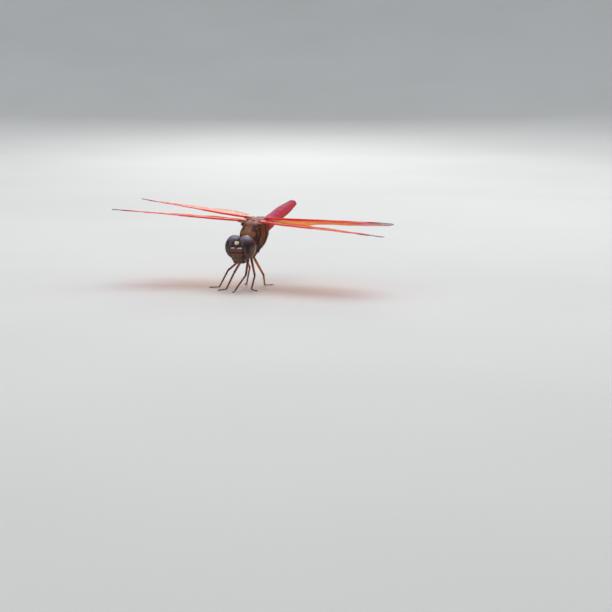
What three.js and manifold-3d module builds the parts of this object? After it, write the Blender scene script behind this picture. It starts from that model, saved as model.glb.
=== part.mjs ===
// A male red skimmer dragonfly, life size, standing on its six feet with its wings spread.
// Millimetres, +Z up. The head looks toward -Y and the animal's left side is +X.
// Places are first given from the centre of the head; the finished animal is then set with its
// feet on z = 0 and the middle of its bounding box over the origin.

import * as THREE from 'three';
import { mergeVertices } from 'three/addons/utils/BufferGeometryUtils.js';
import Module from 'manifold-3d';

// ---- Driving sizes ----

const GAP = 0.05; // clearance between neighbouring pieces
const LEAST_THICKNESS = 0.5; // wings, legs and feelers are no thinner than this

const HEAD_HEIGHT = 8.4; // floor to the centre of the head
const TRUNK_PITCH = 12; // degrees, tail up
const TRUNK_ROLL = 2.5; // degrees, left side down

// Head, from its own centre.
const EYE = { x: 1.2, y: 0.15, z: 0.03, halfWidth: 1.76, halfDepth: 1.95, halfHeight: 2.2 };
const CAPSULE = { at: [0, 0.95, -0.1], radii: [2.7, 1.3, 1.95] };
const VERTEX = { at: [0, -1.55, 0.78], radii: [0.5, 0.42, 0.42] };
const FRONS = { at: [0, -1.35, -0.48], radii: [1.2, 0.92, 0.68] };
const CLYPEUS = { at: [0, -1.15, -1.45], radii: [1.2, 0.85, 0.58] };
const LABRUM = { at: [0, -0.85, -2.2], radii: [1.05, 0.75, 0.52] };
const LABIUM = { at: [0, -0.2, -2.5], radii: [1.25, 1.1, 0.58] };
const MANDIBLE = { x: 1.0, y: -0.6, z: -1.95, radii: [0.45, 0.7, 0.55] };
const ANTENNA = { root: [0.6, -1.75, 0.42], tip: [1.25, -3.3, 1.45] };

// Thorax, in the tilted frame of the trunk. Heights run from -1 at the keel to +1 at the back.
const THORAX = { middle: 0.3, halfHeight: 2.95 };
const PROTHORAX = { at: [0, 2.95, -0.25], radii: [1.45, 0.95, 1.75] };
const SIDE_SUTURE = { y: 5.85, z: 0.1, lean: 31 }; // plane between the two wing-bearing segments

// Abdomen: segment lengths from the waist to the tail, then its course in world degrees.
const SEGMENT_LENGTHS = [1.1, 1.8, 2.8, 2.9, 2.9, 2.8, 2.4, 1.7, 1.0, 0.6];
const ABDOMEN = { x: 0.35, y: 9.2, z: 2.9, yaw: 5.5, pitch: 8.9 };
const APPENDAGE_LENGTH = 1.2;

// Wings: offsets ahead of and behind the line from hinge to tip, at distances along it.
const FOREWING = {
  length: 26,
  span: [0, 1.5, 5, 10, 16, 21, 24.2, 25.5, 26],
  front: [0.9, 1.35, 1.8, 2.0, 2.2, 2.15, 1.6, 1.0, 0.35],
  rear: [1.2, 2.0, 3.2, 3.9, 4.1, 3.6, 2.5, 1.3, 0.45],
};
const HINDWING = {
  length: 25,
  span: [0, 1.5, 4, 8, 13, 18, 22, 24.2, 25],
  front: [0.9, 1.4, 1.75, 1.9, 2.0, 2.05, 1.65, 1.0, 0.35],
  rear: [1.6, 4.9, 7.2, 7.1, 6.3, 5.2, 3.6, 1.9, 0.5],
};
const WING_ROOT = -1.1; // how far inside the hinge a blade starts, before the thorax trims it
const LOBE_DROOP = { depth: 1.5, reach: 7, span: 4.5 }; // sag of the hindwing's inner rear lobe

// Each wing's hinge in the trunk frame, then its sweep (forward) and rise in world degrees, and how
// far its leading edge is raised at its root and at its tip.
const WINGS = [
  {
    name: 'forewing_left',
    shape: FOREWING,
    side: 1,
    hinge: [2.0, 6.2, 3.2],
    sweep: 10.4,
    rise: -3.2,
    twist: [2, 8],
  },
  {
    name: 'forewing_right',
    shape: FOREWING,
    side: -1,
    hinge: [-2.0, 6.2, 3.2],
    sweep: 8.8,
    rise: 3.4,
    twist: [-1, 8],
  },
  {
    name: 'hindwing_left',
    shape: HINDWING,
    side: 1,
    hinge: [1.9, 8.8, 2.95],
    sweep: 0.1,
    rise: -0.3,
    twist: [9, 11],
  },
  {
    name: 'hindwing_right',
    shape: HINDWING,
    side: -1,
    hinge: [-1.9, 8.8, 3.1],
    sweep: -8.5,
    rise: 5.6,
    twist: [0, 9],
  },
];

// Legs: coxa root and hip in the trunk frame for the left side, mirrored for the right.
const LEG_PAIRS = {
  fore: { root: [0.8, 3.1, -1.3], hip: [0.5, 2.3, -2.54], femur: 3.6, tibia: 3.5, tarsus: 1.7 },
  mid: { root: [1.0, 4.0, -1.7], hip: [0.68, 3.0, -2.8], femur: 4.4, tibia: 4.0, tarsus: 1.8 },
  hind: { root: [1.1, 5.0, -1.8], hip: [0.85, 3.75, -3.0], femur: 4.5, tibia: 4.2, tarsus: 2.0 },
};

// Where each ankle stands, which way the knee bows and the toes point, from under the head centre.
const STANCES = [
  { pair: 'fore', side: 1, ankle: [-1.4, 0.6], knee: [0.95, -0.3, -0.15], toes: [0.2, -1] },
  { pair: 'fore', side: -1, ankle: [-3.8, 1.9], knee: [0.05, -1, 0.1], toes: [-0.6, -1] },
  { pair: 'mid', side: 1, ankle: [0.8, 3.2], knee: [0.6, -0.8, 0], toes: [1, -0.7] },
  { pair: 'mid', side: -1, ankle: [-6.3, 4.2], knee: [-0.7, -0.4, 0.6], toes: [-1, -0.3] },
  { pair: 'hind', side: 1, ankle: [0.6, 10.0], knee: [0.8, -0.4, -0.4], toes: [0.5, 1] },
  { pair: 'hind', side: -1, ankle: [-3.1, 9.7], knee: [0.4, 0.75, 0.55], toes: [-0.6, 1] },
];
const LEG_RADII = { coxa: [0.44, 0.3], femur: [0.3, 0.26], tibia: [0.26, 0.25], tarsus: [0.27, 0.25] };
const ANKLE_HEIGHT = 0.2; // centre line of the toes above the floor

const FINISHES = {
  eye: { color: 0x3a2127, roughness: 0.25 },
  face: { color: 0x7a3a28, roughness: 0.4 },
  vertex: { color: 0xb9a06a, roughness: 0.45 },
  thorax: { color: 0x7d4f2c, roughness: 0.7 },
  abdomen: { color: 0xa31f2e, roughness: 0.55 },
  wing: { color: 0xd9602a, roughness: 0.3 },
  leg: { color: 0x8c3f1f, roughness: 0.4 },
  foreleg: { color: 0x4a1a16, roughness: 0.4 },
};

// ---- Small tools ----

const wasm = await Module();
wasm.setup();

const rad = THREE.MathUtils.degToRad;
const lerp = THREE.MathUtils.lerp;
const vector = (values) => new THREE.Vector3(...values);

/** A closed geometry as a solid that can be cut. */
function solidOf(geometry) {
  const plain = geometry.clone();
  plain.deleteAttribute('normal');
  plain.deleteAttribute('uv');
  const merged = mergeVertices(plain, 1e-5);
  return new wasm.Manifold(
    new wasm.Mesh({
      numProp: 3,
      vertProperties: new Float32Array(merged.attributes.position.array),
      triVerts: new Uint32Array(merged.index.array),
    }),
  );
}

/** The surface of a solid as a geometry. */
function geometryOf(solid) {
  const mesh = solid.getMesh();
  const geometry = new THREE.BufferGeometry();
  geometry.setAttribute('position', new THREE.BufferAttribute(mesh.vertProperties, 3));
  geometry.setIndex(new THREE.BufferAttribute(mesh.triVerts, 1));
  geometry.computeVertexNormals();
  return geometry;
}

/** Moves every vertex of a geometry to the place that the function gives for it. */
function reshape(geometry, place) {
  const position = geometry.attributes.position;
  const point = new THREE.Vector3();
  for (let i = 0; i < position.count; i += 1) {
    point.fromBufferAttribute(position, i);
    const moved = place(point);
    position.setXYZ(i, moved.x, moved.y, moved.z);
  }
  geometry.computeVertexNormals();
  return geometry;
}

/** A unit ball with its poles on Z. */
function ball(around, along) {
  return new THREE.SphereGeometry(1, around, along).rotateX(Math.PI / 2);
}

/** An ellipsoid, larger by grow on every side. */
function bulb({ at, radii }, grow, around = 12, along = 8) {
  const [x, y, z] = radii.map((radius) => radius + grow);
  return ball(around, along).scale(x, y, z).translate(...at);
}

/** A tube along a curve; bevels give the planes through its two ends, as point and normal. */
function tube(curve, radiusAt, { start, end }, sides = 8, steps = 4) {
  const frame = new THREE.Quaternion();
  const across = new THREE.Vector3();
  return reshape(new THREE.CylinderGeometry(1, 1, 1, sides, steps).rotateX(Math.PI / 2), (p) => {
    const t = p.z + 0.5;
    const heading = curve.getTangent(t);
    frame.setFromUnitVectors(new THREE.Vector3(0, 0, 1), heading);
    across.set(p.x, p.y, 0).multiplyScalar(radiusAt(t)).applyQuaternion(frame);
    const point = curve.getPoint(t).add(across);
    const bevel = t < 0.001 ? start : t > 0.999 ? end : null;
    if (bevel) {
      const distance = point.clone().sub(bevel.point).dot(bevel.normal);
      point.addScaledVector(heading, (bevel.inset - distance) / heading.dot(bevel.normal));
    }
    return point;
  });
}

const animal = new THREE.Group();
const head = new THREE.Group();
const trunk = new THREE.Group();
const pieces = new Map();

/** Adds a named piece whose shape is a function of how much it is grown. */
function addPiece(parent, name, finish, shape) {
  const material = new THREE.MeshStandardMaterial({ ...FINISHES[finish], metalness: 0 });
  const mesh = new THREE.Mesh(shape(0), material);
  mesh.name = name;
  mesh.userData.shape = shape;
  parent.add(mesh);
  pieces.set(name, mesh);
  return mesh;
}

/** Cuts a piece back so that it clears each of the named neighbours by the gap. */
function fitAround(name, ...neighbours) {
  const mesh = pieces.get(name);
  const toLocal = mesh.matrixWorld.clone().invert();
  let body = solidOf(mesh.geometry);
  for (const neighbour of neighbours) {
    const other = pieces.get(neighbour);
    const grown = other.userData.shape(GAP).applyMatrix4(other.matrixWorld).applyMatrix4(toLocal);
    body = body.subtract(solidOf(grown));
  }
  mesh.geometry = geometryOf(body);
}

// ---- Head ----

/** One eye, flat where the two meet on the midline. */
function eyeShape(side, grow) {
  const radii = [EYE.halfWidth, EYE.halfDepth, EYE.halfHeight];
  const eye = bulb({ at: [side * EYE.x, EYE.y, EYE.z], radii }, grow, 17, 11);
  const seam = GAP / 2 - grow;
  return reshape(eye, (p) => p.setX(side * Math.max(side * p.x, seam)));
}

/** One feeler: a thick tapering bristle bowed outward. */
function antennaShape(side, grow) {
  const root = vector(ANTENNA.root).multiply(vector([side, 1, 1]));
  const tip = vector(ANTENNA.tip).multiply(vector([side, 1, 1]));
  const bow = root.clone().lerp(tip, 0.5).add(new THREE.Vector3(0, -0.15, 0.12));
  const curve = new THREE.QuadraticBezierCurve3(root, bow, tip);
  return tube(curve, () => LEAST_THICKNESS / 2 + grow, {}, 6, 4);
}

function buildHead() {
  addPiece(head, 'head_capsule', 'face', (grow) => bulb(CAPSULE, grow, 15, 8));
  addPiece(head, 'vertex', 'vertex', (grow) => bulb(VERTEX, grow, 9, 6));
  addPiece(head, 'frons', 'face', (grow) => bulb(FRONS, grow));
  addPiece(head, 'clypeus', 'face', (grow) => bulb(CLYPEUS, grow));
  addPiece(head, 'labrum', 'face', (grow) => bulb(LABRUM, grow));
  addPiece(head, 'labium', 'face', (grow) => bulb(LABIUM, grow));
  for (const [label, side] of [['left', 1], ['right', -1]]) {
    const mandible = { at: [side * MANDIBLE.x, MANDIBLE.y, MANDIBLE.z], radii: MANDIBLE.radii };
    addPiece(head, `eye_${label}`, 'eye', (grow) => eyeShape(side, grow));
    addPiece(head, `antenna_${label}`, 'foreleg', (grow) => antennaShape(side, grow));
    addPiece(head, `mandible_${label}`, 'face', (grow) => bulb(mandible, grow, 9, 6));
  }
}

// ---- Thorax ----

/** The wing-bearing trunk: narrow at the keel, leaning back as it rises to the wing roots. */
function thoraxShape(grow) {
  return reshape(ball(18, 12), ({ x, y, z }) => {
    const shoulder = 0.45 * THREE.MathUtils.smoothstep(z, -0.1, 0.4);
    const centre = 6.7 + 2.2 * z - 0.7 * z * z - shoulder;
    const halfLength = 3.5 + z + 1.9 * z * z + shoulder + grow;
    const halfWidth = 2.65 + (z > 0 ? 2.4 * z ** 6 : 0.4 * z * z) + grow;
    return new THREE.Vector3(
      x * halfWidth,
      centre + y * halfLength,
      THORAX.middle + z * (THORAX.halfHeight + grow),
    );
  });
}

/** The part of the thorax ahead of (-1) or behind (+1) the slanting suture on its side. */
function thoraxHalf(direction, grow) {
  const reach = 14;
  const cutter = new THREE.BoxGeometry(reach, reach, reach)
    .translate(0, direction * (GAP / 2 - grow - reach / 2), 0)
    .rotateX(-rad(SIDE_SUTURE.lean))
    .translate(0, SIDE_SUTURE.y, SIDE_SUTURE.z);
  return geometryOf(solidOf(thoraxShape(grow)).subtract(solidOf(cutter)));
}

function buildThorax() {
  addPiece(trunk, 'prothorax', 'thorax', (grow) => bulb(PROTHORAX, grow));
  addPiece(trunk, 'mesothorax', 'thorax', (grow) => thoraxHalf(-1, grow));
  addPiece(trunk, 'metathorax', 'thorax', (grow) => thoraxHalf(1, grow));
}

// ---- Abdomen ----

const abdomen = new THREE.Group();
const BODY_LENGTH = SEGMENT_LENGTHS.reduce((sum, length) => sum + length, 0);

/** Half width and half height of the abdomen at a fraction of its length. */
function abdomenSection(t) {
  const swelling = 0.3 * Math.exp(-(((t - 0.1) / 0.09) ** 2));
  const taper = 1 - 0.4 * THREE.MathUtils.smoothstep(t, 0.6, 1.1);
  return {
    halfWidth: (1.48 + swelling * 0.3) * taper,
    halfHeight: (1.08 + swelling) * taper,
  };
}

/** One ring of the abdomen: roofed above, flatter below, a little wider at its rear edge. */
function segmentShape(from, length, grow) {
  const ring = new THREE.CylinderGeometry(1, 1, 1, 16, 2);
  return reshape(ring, ({ x, y, z }) => {
    const t = y + 0.5;
    const along = lerp(from + GAP / 2 - grow, from + length - GAP / 2 + grow, t);
    const { halfWidth, halfHeight } = abdomenSection(along / BODY_LENGTH);
    const flare = 1 + 0.03 * t;
    const roof = z > 0 ? z * (0.88 + 0.12 * z * z) : z * 0.85;
    return new THREE.Vector3(
      x * (halfWidth * flare + grow),
      along,
      roof * (halfHeight * flare + grow),
    );
  });
}

/** A short spike at the tail end, seen from above as a slim leaf. */
function appendageShape(x, z, length) {
  const root = new THREE.Vector3(x, BODY_LENGTH + GAP / 2, z);
  const tip = new THREE.Vector3(x * 1.15, BODY_LENGTH + length, z * 1.1);
  return tube(new THREE.LineCurve3(root, tip), (t) => lerp(0.27, LEAST_THICKNESS / 2, t), {}, 8, 2);
}

function buildAbdomen() {
  let from = 0;
  SEGMENT_LENGTHS.forEach((length, i) => {
    const start = from;
    addPiece(abdomen, `abdomen_${i + 1}`, 'abdomen', (grow) => segmentShape(start, length, grow));
    from += length;
  });
  addPiece(abdomen, 'cercus_left', 'abdomen', () => appendageShape(0.33, 0.22, APPENDAGE_LENGTH));
  addPiece(abdomen, 'cercus_right', 'abdomen', () => appendageShape(-0.33, 0.22, APPENDAGE_LENGTH));
  addPiece(abdomen, 'epiproct', 'abdomen', () => appendageShape(0, -0.33, 0.8 * APPENDAGE_LENGTH));
  abdomen.position.set(ABDOMEN.x, ABDOMEN.y, ABDOMEN.z);
  abdomen.rotation.set(rad(ABDOMEN.pitch), 0, rad(ABDOMEN.yaw), 'ZXY');
}

// ---- Wings ----

/** Smooth curve through values given at distances along the wing. */
function edge(span, offsets) {
  const curve = new THREE.CubicInterpolant(span, offsets, 1, new Float32Array(1));
  return (distance) => curve.evaluate(distance)[0];
}

/** A wing as a thin blade twisted along its span, placed by its hinge, sweep and rise. */
function wingShape({ shape, side, hinge, sweep, rise, twist }, grow) {
  const front = edge(shape.span, shape.front);
  const rear = edge(shape.span, shape.rear);
  const { depth, reach, span } = LOBE_DROOP;
  const lobe = shape === HINDWING ? depth : 0;
  const droop = (distance, chord) =>
    lobe * (Math.min(chord, 0) / reach) ** 2 * Math.exp(-((distance / span) ** 2));
  const out = new THREE.Vector3(
    side * Math.cos(rad(sweep)) * Math.cos(rad(rise)),
    -Math.sin(rad(sweep)) * Math.cos(rad(rise)),
    Math.sin(rad(rise)),
  );
  const level = new THREE.Vector3(0, 0, 1).cross(out).multiplyScalar(side).negate().normalize();
  const root = vector(hinge).applyMatrix4(trunk.matrixWorld);
  const blade = new THREE.BoxGeometry(1, 1, 1, 17, 4, 1);
  return reshape(blade, ({ x, y, z }) => {
    const t = Math.sin((x + 0.5) * Math.PI * 0.5) ** 0.9;
    const distance = lerp(WING_ROOT, shape.length, t);
    const chord = lerp(-rear(Math.max(distance, 0)), front(Math.max(distance, 0)), 0.5 - side * y);
    const lean = rad(lerp(...twist, t)) * side;
    const chordwise = level.clone().applyAxisAngle(out, -lean);
    const upward = chordwise.clone().cross(out).multiplyScalar(side);
    const height = z * (LEAST_THICKNESS + 2 * grow) - droop(distance, chord);
    return root
      .clone()
      .addScaledVector(out, distance)
      .addScaledVector(chordwise, chord)
      .addScaledVector(upward, height);
  });
}

function buildWings() {
  for (const wing of WINGS) {
    addPiece(animal, wing.name, 'wing', (grow) => wingShape(wing, grow));
  }
}

// ---- Legs ----

/** Where the knee lies between hip and ankle, bowed toward the given direction. */
function kneeOf(hip, ankle, femur, tibia, bow) {
  const line = ankle.clone().sub(hip);
  const distance = line.length();
  const along = (femur ** 2 - tibia ** 2 + distance ** 2) / (2 * distance);
  const height = Math.sqrt(Math.max(femur ** 2 - along ** 2, 0));
  line.normalize();
  const sideways = bow.clone().addScaledVector(line, -bow.dot(line)).normalize();
  return hip.clone().addScaledVector(line, along).addScaledVector(sideways, height);
}

/** The plane that mitres two lengths of a leg where they meet, set back by half the gap. */
function mitre(before, joint, after, setBack) {
  const normal = joint.clone().sub(before).normalize();
  normal.add(after.clone().sub(joint).normalize()).normalize();
  return { point: joint, normal, inset: setBack };
}

/** One straight length of leg between two joints, mitred to its neighbours. */
function legLength(points, index, [thick, thin], grow) {
  const [from, to] = [points[index], points[index + 1]];
  const bevels = {
    start: index > 0 ? mitre(points[index - 1], from, to, GAP / 2 - grow) : null,
    end: index < points.length - 2 ? mitre(from, to, points[index + 2], grow - GAP / 2) : null,
  };
  const radiusAt = (t) => lerp(thick, thin, t) + grow;
  return tube(new THREE.LineCurve3(from, to), radiusAt, bevels, 8, 2);
}

/** A length of leg that goes no lower than the given height above the floor. */
function legAbove(height, points, index, radii, grow) {
  const lowest = height - HEAD_HEIGHT;
  return reshape(legLength(points, index, radii, grow), (p) => p.setZ(Math.max(p.z, lowest)));
}

function buildLeg({ pair, side, ankle, knee, toes }) {
  const { root, hip, femur, tibia, tarsus } = LEG_PAIRS[pair];
  const mirror = new THREE.Vector3(side, 1, 1);
  const toes3 = new THREE.Vector3(toes[0], toes[1], 0).normalize();
  const rootPoint = vector(root).multiply(mirror).applyMatrix4(trunk.matrixWorld);
  const hipPoint = vector(hip).multiply(mirror).applyMatrix4(trunk.matrixWorld);
  const anklePoint = new THREE.Vector3(...ankle, ANKLE_HEIGHT - HEAD_HEIGHT);
  const kneePoint = kneeOf(hipPoint, anklePoint, femur, tibia, vector(knee));
  const toePoint = anklePoint.clone().addScaledVector(toes3, tarsus);
  const points = [rootPoint, hipPoint, kneePoint, anklePoint, toePoint];
  const finish = pair === 'hind' ? 'leg' : 'foreleg';
  const label = `${pair}leg_${side > 0 ? 'left' : 'right'}`;
  const add = (part, shape) => addPiece(animal, `${label}_${part}`, finish, shape);
  add('coxa', (grow) => legLength(points, 0, LEG_RADII.coxa, grow));
  add('femur', (grow) => legLength(points, 1, LEG_RADII.femur, grow));
  add('tibia', (grow) => legAbove(GAP, points, 2, LEG_RADII.tibia, grow));
  add('tarsus', (grow) => legAbove(0, points, 3, LEG_RADII.tarsus, grow));
}

// ---- Assembly ----

/** Trims the pieces that meet, each round the neighbours that keep their full shape. */
function fitPieces() {
  const antennae = ['antenna_left', 'antenna_right'];
  const sides = ['left', 'right'];
  const coxae = ['fore', 'mid', 'hind'].flatMap((pair) => sides.map((side) => `${pair}leg_${side}_coxa`));
  const mandibles = ['mandible_left', 'mandible_right'];
  fitAround('vertex', ...antennae);
  fitAround('frons', 'vertex', ...antennae);
  fitAround('clypeus', 'frons');
  fitAround('labrum', 'clypeus');
  for (const mandible of mandibles) {
    fitAround(mandible, 'clypeus', 'labrum');
  }
  fitAround('labium', 'clypeus', 'labrum', ...mandibles);
  const faceParts = ['vertex', 'frons', 'clypeus', 'labrum', 'labium', ...mandibles];
  fitAround('eye_left', ...faceParts, 'antenna_left');
  fitAround('eye_right', ...faceParts, 'antenna_right');
  fitAround('head_capsule', 'eye_left', 'eye_right', ...faceParts);
  fitAround('prothorax', 'head_capsule', 'eye_left', 'eye_right', ...coxae);
  fitAround('mesothorax', 'prothorax', ...coxae);
  fitAround('metathorax', ...coxae);
  fitAround('abdomen_1', 'mesothorax', 'metathorax');
  fitAround('abdomen_2', 'metathorax');
  for (const { name } of WINGS) {
    fitAround(name, 'mesothorax', 'metathorax');
  }
}

trunk.rotation.set(rad(TRUNK_PITCH), rad(TRUNK_ROLL), 0, 'YXZ');
animal.add(head, trunk, abdomen);
animal.updateMatrixWorld(true);
buildHead();
buildThorax();
buildAbdomen();
buildWings();
STANCES.forEach(buildLeg);
animal.updateMatrixWorld(true);
fitPieces();

const extent = new THREE.Box3().setFromObject(animal, true);
const middle = extent.getCenter(new THREE.Vector3());
animal.position.set(-middle.x, -middle.y, HEAD_HEIGHT);

const dragonfly = new THREE.Group();
dragonfly.add(animal);
dragonfly.updateMatrixWorld(true);

export default dragonfly;
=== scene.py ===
"""A red dragonfly at rest, life size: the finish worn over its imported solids.

Shapes are worked out in millimetres from the centre of the head, with +X the animal's left, -Y its
front and +Z up. They become metres in the model's own frame when a piece is built.
"""

from __future__ import annotations

import logging
import math
from dataclasses import dataclass, field
from enum import Enum, auto
from typing import Callable, Iterable, Iterator

import bmesh
import bpy
import numpy as np
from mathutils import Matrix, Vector
from mathutils.geometry import delaunay_2d_cdt


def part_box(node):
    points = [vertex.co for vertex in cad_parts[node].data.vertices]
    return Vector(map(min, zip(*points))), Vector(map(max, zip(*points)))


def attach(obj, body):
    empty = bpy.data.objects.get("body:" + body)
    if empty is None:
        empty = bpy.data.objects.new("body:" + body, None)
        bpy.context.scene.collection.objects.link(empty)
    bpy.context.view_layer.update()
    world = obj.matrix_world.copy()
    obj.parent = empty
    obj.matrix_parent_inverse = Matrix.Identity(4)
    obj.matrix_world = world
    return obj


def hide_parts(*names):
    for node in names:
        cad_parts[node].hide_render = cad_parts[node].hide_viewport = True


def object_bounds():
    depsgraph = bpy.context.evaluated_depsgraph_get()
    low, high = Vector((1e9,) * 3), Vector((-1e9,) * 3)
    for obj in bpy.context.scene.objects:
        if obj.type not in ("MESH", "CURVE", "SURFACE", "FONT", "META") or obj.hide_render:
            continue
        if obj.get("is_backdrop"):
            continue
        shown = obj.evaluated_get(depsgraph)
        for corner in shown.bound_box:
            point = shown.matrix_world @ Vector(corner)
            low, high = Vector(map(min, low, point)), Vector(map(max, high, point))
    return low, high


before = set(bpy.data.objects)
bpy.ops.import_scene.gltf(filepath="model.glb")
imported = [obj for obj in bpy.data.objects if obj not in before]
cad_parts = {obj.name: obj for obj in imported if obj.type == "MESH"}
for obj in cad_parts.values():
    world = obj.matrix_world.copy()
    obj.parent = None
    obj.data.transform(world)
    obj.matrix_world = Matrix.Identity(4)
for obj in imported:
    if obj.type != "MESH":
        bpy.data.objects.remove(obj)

Array = np.ndarray
Colour = tuple[float, float, float]
Point = tuple[float, float, float]
Material = bpy.types.Material
Node = bpy.types.Node
Socket = bpy.types.NodeSocket

MM = 0.001  # A millimetre in metres.
BODY = "root"  # The one body that everything rides on.
COAT_MAP = "OFBake"  # The map that says where on the skin each hair stands.
COAT_PATCH = 0.003  # Width of one hair's place on that map.
UP = np.array((0.0, 0.0, 1.0))
TINY = 1e-6

log = logging.getLogger("dragonfly")


class Side(Enum):
    """A side of the animal, with the sign that X has there."""

    LEFT = 1
    RIGHT = -1

    @property
    def label(self) -> str:
        """The side's word in the names of pieces."""
        return self.name.lower()

    def faced(self, faces: Array) -> Array:
        """The faces of a shape made for the left, turned to face outward on this side."""
        return faces if self is Side.LEFT else faces[:, ::-1]


class Slot(Enum):
    """The record's material slots."""

    EYE = "eye"
    FACE = "face"
    VERTEX = "vertex"
    THORAX = "thorax"
    ABDOMEN = "abdomen"
    WING = "wing"
    LEG = "leg"
    FORELEG = "foreleg"


# ---- Sums on points ----


def ease(low: float, high: float, value: Array) -> Array:
    """Rises smoothly from 0 at low to 1 at high."""
    t = np.clip((np.asarray(value, float) - low) / (high - low), 0.0, 1.0)
    return t * t * (3.0 - 2.0 * t)


def bell(distance: Array, width: float) -> Array:
    """A smooth bump of height 1 that fades over the width."""
    return np.exp(-((np.asarray(distance, float) / width) ** 2))


def lerp(a: Array, b: Array, t: Array) -> Array:
    """The value a part t of the way from a to b."""
    return a + (b - a) * t


def parts(count: int) -> Array:
    """Evenly spread parts from 0 to 1."""
    return np.linspace(0.0, 1.0, count)


def unit(vectors: Array) -> Array:
    """The same directions, one long."""
    return vectors / np.maximum(np.linalg.norm(vectors, axis=-1, keepdims=True), 1e-12)


def distances(points: Array, at: Array, scale: Array | float = 1.0) -> Array:
    """How far points are from a place, with each axis shrunk by the scale."""
    return np.linalg.norm((points - at) / scale, axis=-1)


def turn(axis: int, degrees: float) -> Array:
    """A turn round an axis.

    Args:
        axis: 0 for X to 2 for Z.
        degrees: How far.

    Returns:
        Its matrix.
    """
    c, s = math.cos(math.radians(degrees)), math.sin(math.radians(degrees))
    i, j = (axis + 1) % 3, (axis + 2) % 3
    matrix = np.eye(3)
    matrix[i, i] = matrix[j, j] = c
    matrix[i, j], matrix[j, i] = -s, s
    return matrix


def ripple(points: Array, wavelength: float, seed: int) -> Array:
    """Smooth, random looking swells between about -1 and 1.

    Args:
        points: Places, one per row.
        wavelength: Distance from swell to swell.
        seed: Which swells.

    Returns:
        Their height at each point.
    """
    source, waves = np.random.default_rng(seed), 7
    ways = unit(source.normal(size=(waves, points.shape[1]))) * 2.0 * np.pi / wavelength
    stretch = source.uniform(0.7, 1.5, waves)[:, None]
    phases = source.uniform(0.0, 2.0 * np.pi, waves)
    return np.sin(points @ (ways * stretch).T + phases).sum(axis=1) * 2.0 / waves


def curve_through(knots: tuple[float, ...], heights: tuple[float, ...]) -> Callable[[Array], Array]:
    """A smooth curve through given heights.

    Args:
        knots: Rising positions.
        heights: The value at each of them.

    Returns:
        A function from positions to heights.
    """
    x, y = np.array(knots), np.array(heights)
    slopes = np.gradient(y, x)

    def evaluate(at: Array) -> Array:
        """The curve's height.

        Args:
            at: Positions.

        Returns:
            The height at each.
        """
        at = np.clip(at, x[0], x[-1])
        i = np.clip(np.searchsorted(x, at, side="right") - 1, 0, len(x) - 2)
        h = x[i + 1] - x[i]
        t = (at - x[i]) / h
        rise = 3 * t**2 - 2 * t**3
        bend = (t**3 - 2 * t**2 + t) * slopes[i] + (t**3 - t**2) * slopes[i + 1]
        return (1 - rise) * y[i] + rise * y[i + 1] + h * bend

    return evaluate


def rounded(points: Array, radius: float, steps: int = 6) -> Array:
    """A polyline with its inner corners rounded.

    Args:
        points: The corners of the line, ends included.
        radius: How far from each corner the rounding starts.
        steps: Points in each rounded corner.

    Returns:
        The points of the rounded line.
    """
    line, t = [points[0]], parts(steps)[:, None]
    for before, corner, after in zip(points, points[1:], points[2:]):
        a = corner + unit(before - corner) * radius
        b = corner + unit(after - corner) * radius
        line.extend((1 - t) ** 2 * a + 2 * t * (1 - t) * corner + t**2 * b)
    return np.array([*line, points[-1]])


def resampled(line: Array, count: int) -> Array:
    """A line with its points evenly spread.

    Args:
        line: Its points.
        count: How many it gets.

    Returns:
        The new points.
    """
    reach = np.append(0.0, np.cumsum(np.linalg.norm(np.diff(line, axis=0), axis=1)))
    at = np.linspace(0.0, reach[-1], count)
    return np.stack([np.interp(at, reach, column) for column in line.T], axis=1)


# ---- Meshes ----


def grid_quads(rows: int, columns: int) -> Array:
    """The four-sided faces of a grid of corners, numbered row by row."""
    base = (np.arange(rows - 1)[:, None] * columns + np.arange(columns - 1)).ravel()
    return base[:, None] + (0, 1, columns + 1, columns)


def tube_quads(rings: int, sides: int) -> Array:
    """The faces of a tube.

    Args:
        rings: Rings of corners along it.
        sides: Corners in each ring.

    Returns:
        Its four-sided faces, with the corners numbered ring by ring.
    """
    row, k = np.arange(rings - 1)[:, None] * sides, np.arange(sides)
    after = (k + 1) % sides
    return np.stack([row + k, row + sides + k, row + sides + after, row + after], axis=-1).reshape(-1, 4)


def hoops(heading: Array, rise: Array, radii: Array, sides: int) -> Array:
    """Rings of corners round a line.

    Args:
        heading: The line's direction at each ring.
        rise: A direction that the rings' height lies toward.
        radii: The radius of each ring, or half its width and half its height.
        sides: Corners of a ring.

    Returns:
        Where each corner lies from its ring's middle.
    """
    radii = np.broadcast_to(np.reshape(radii, (len(heading), -1)), (len(heading), 2))
    across = unit(np.cross(heading, rise))
    angle = np.arange(sides) * 2.0 * np.pi / sides
    wide = across[:, None] * (radii[:, :1] * np.cos(angle))[..., None]
    return wide + np.cross(across, heading)[:, None] * (radii[:, 1:] * np.sin(angle))[..., None]


def normals_of(corners: Array, quads: Array) -> Array:
    """The outward direction of a surface at its corners.

    Args:
        corners: Its corners.
        quads: Its four-sided faces.

    Returns:
        One direction for each corner.
    """
    a, b, c, d = (corners[quads[:, k]] for k in range(4))
    facing, total = np.cross(c - a, d - b), np.zeros_like(corners)
    for k in range(4):
        np.add.at(total, quads[:, k], facing)
    return unit(total)


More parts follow.
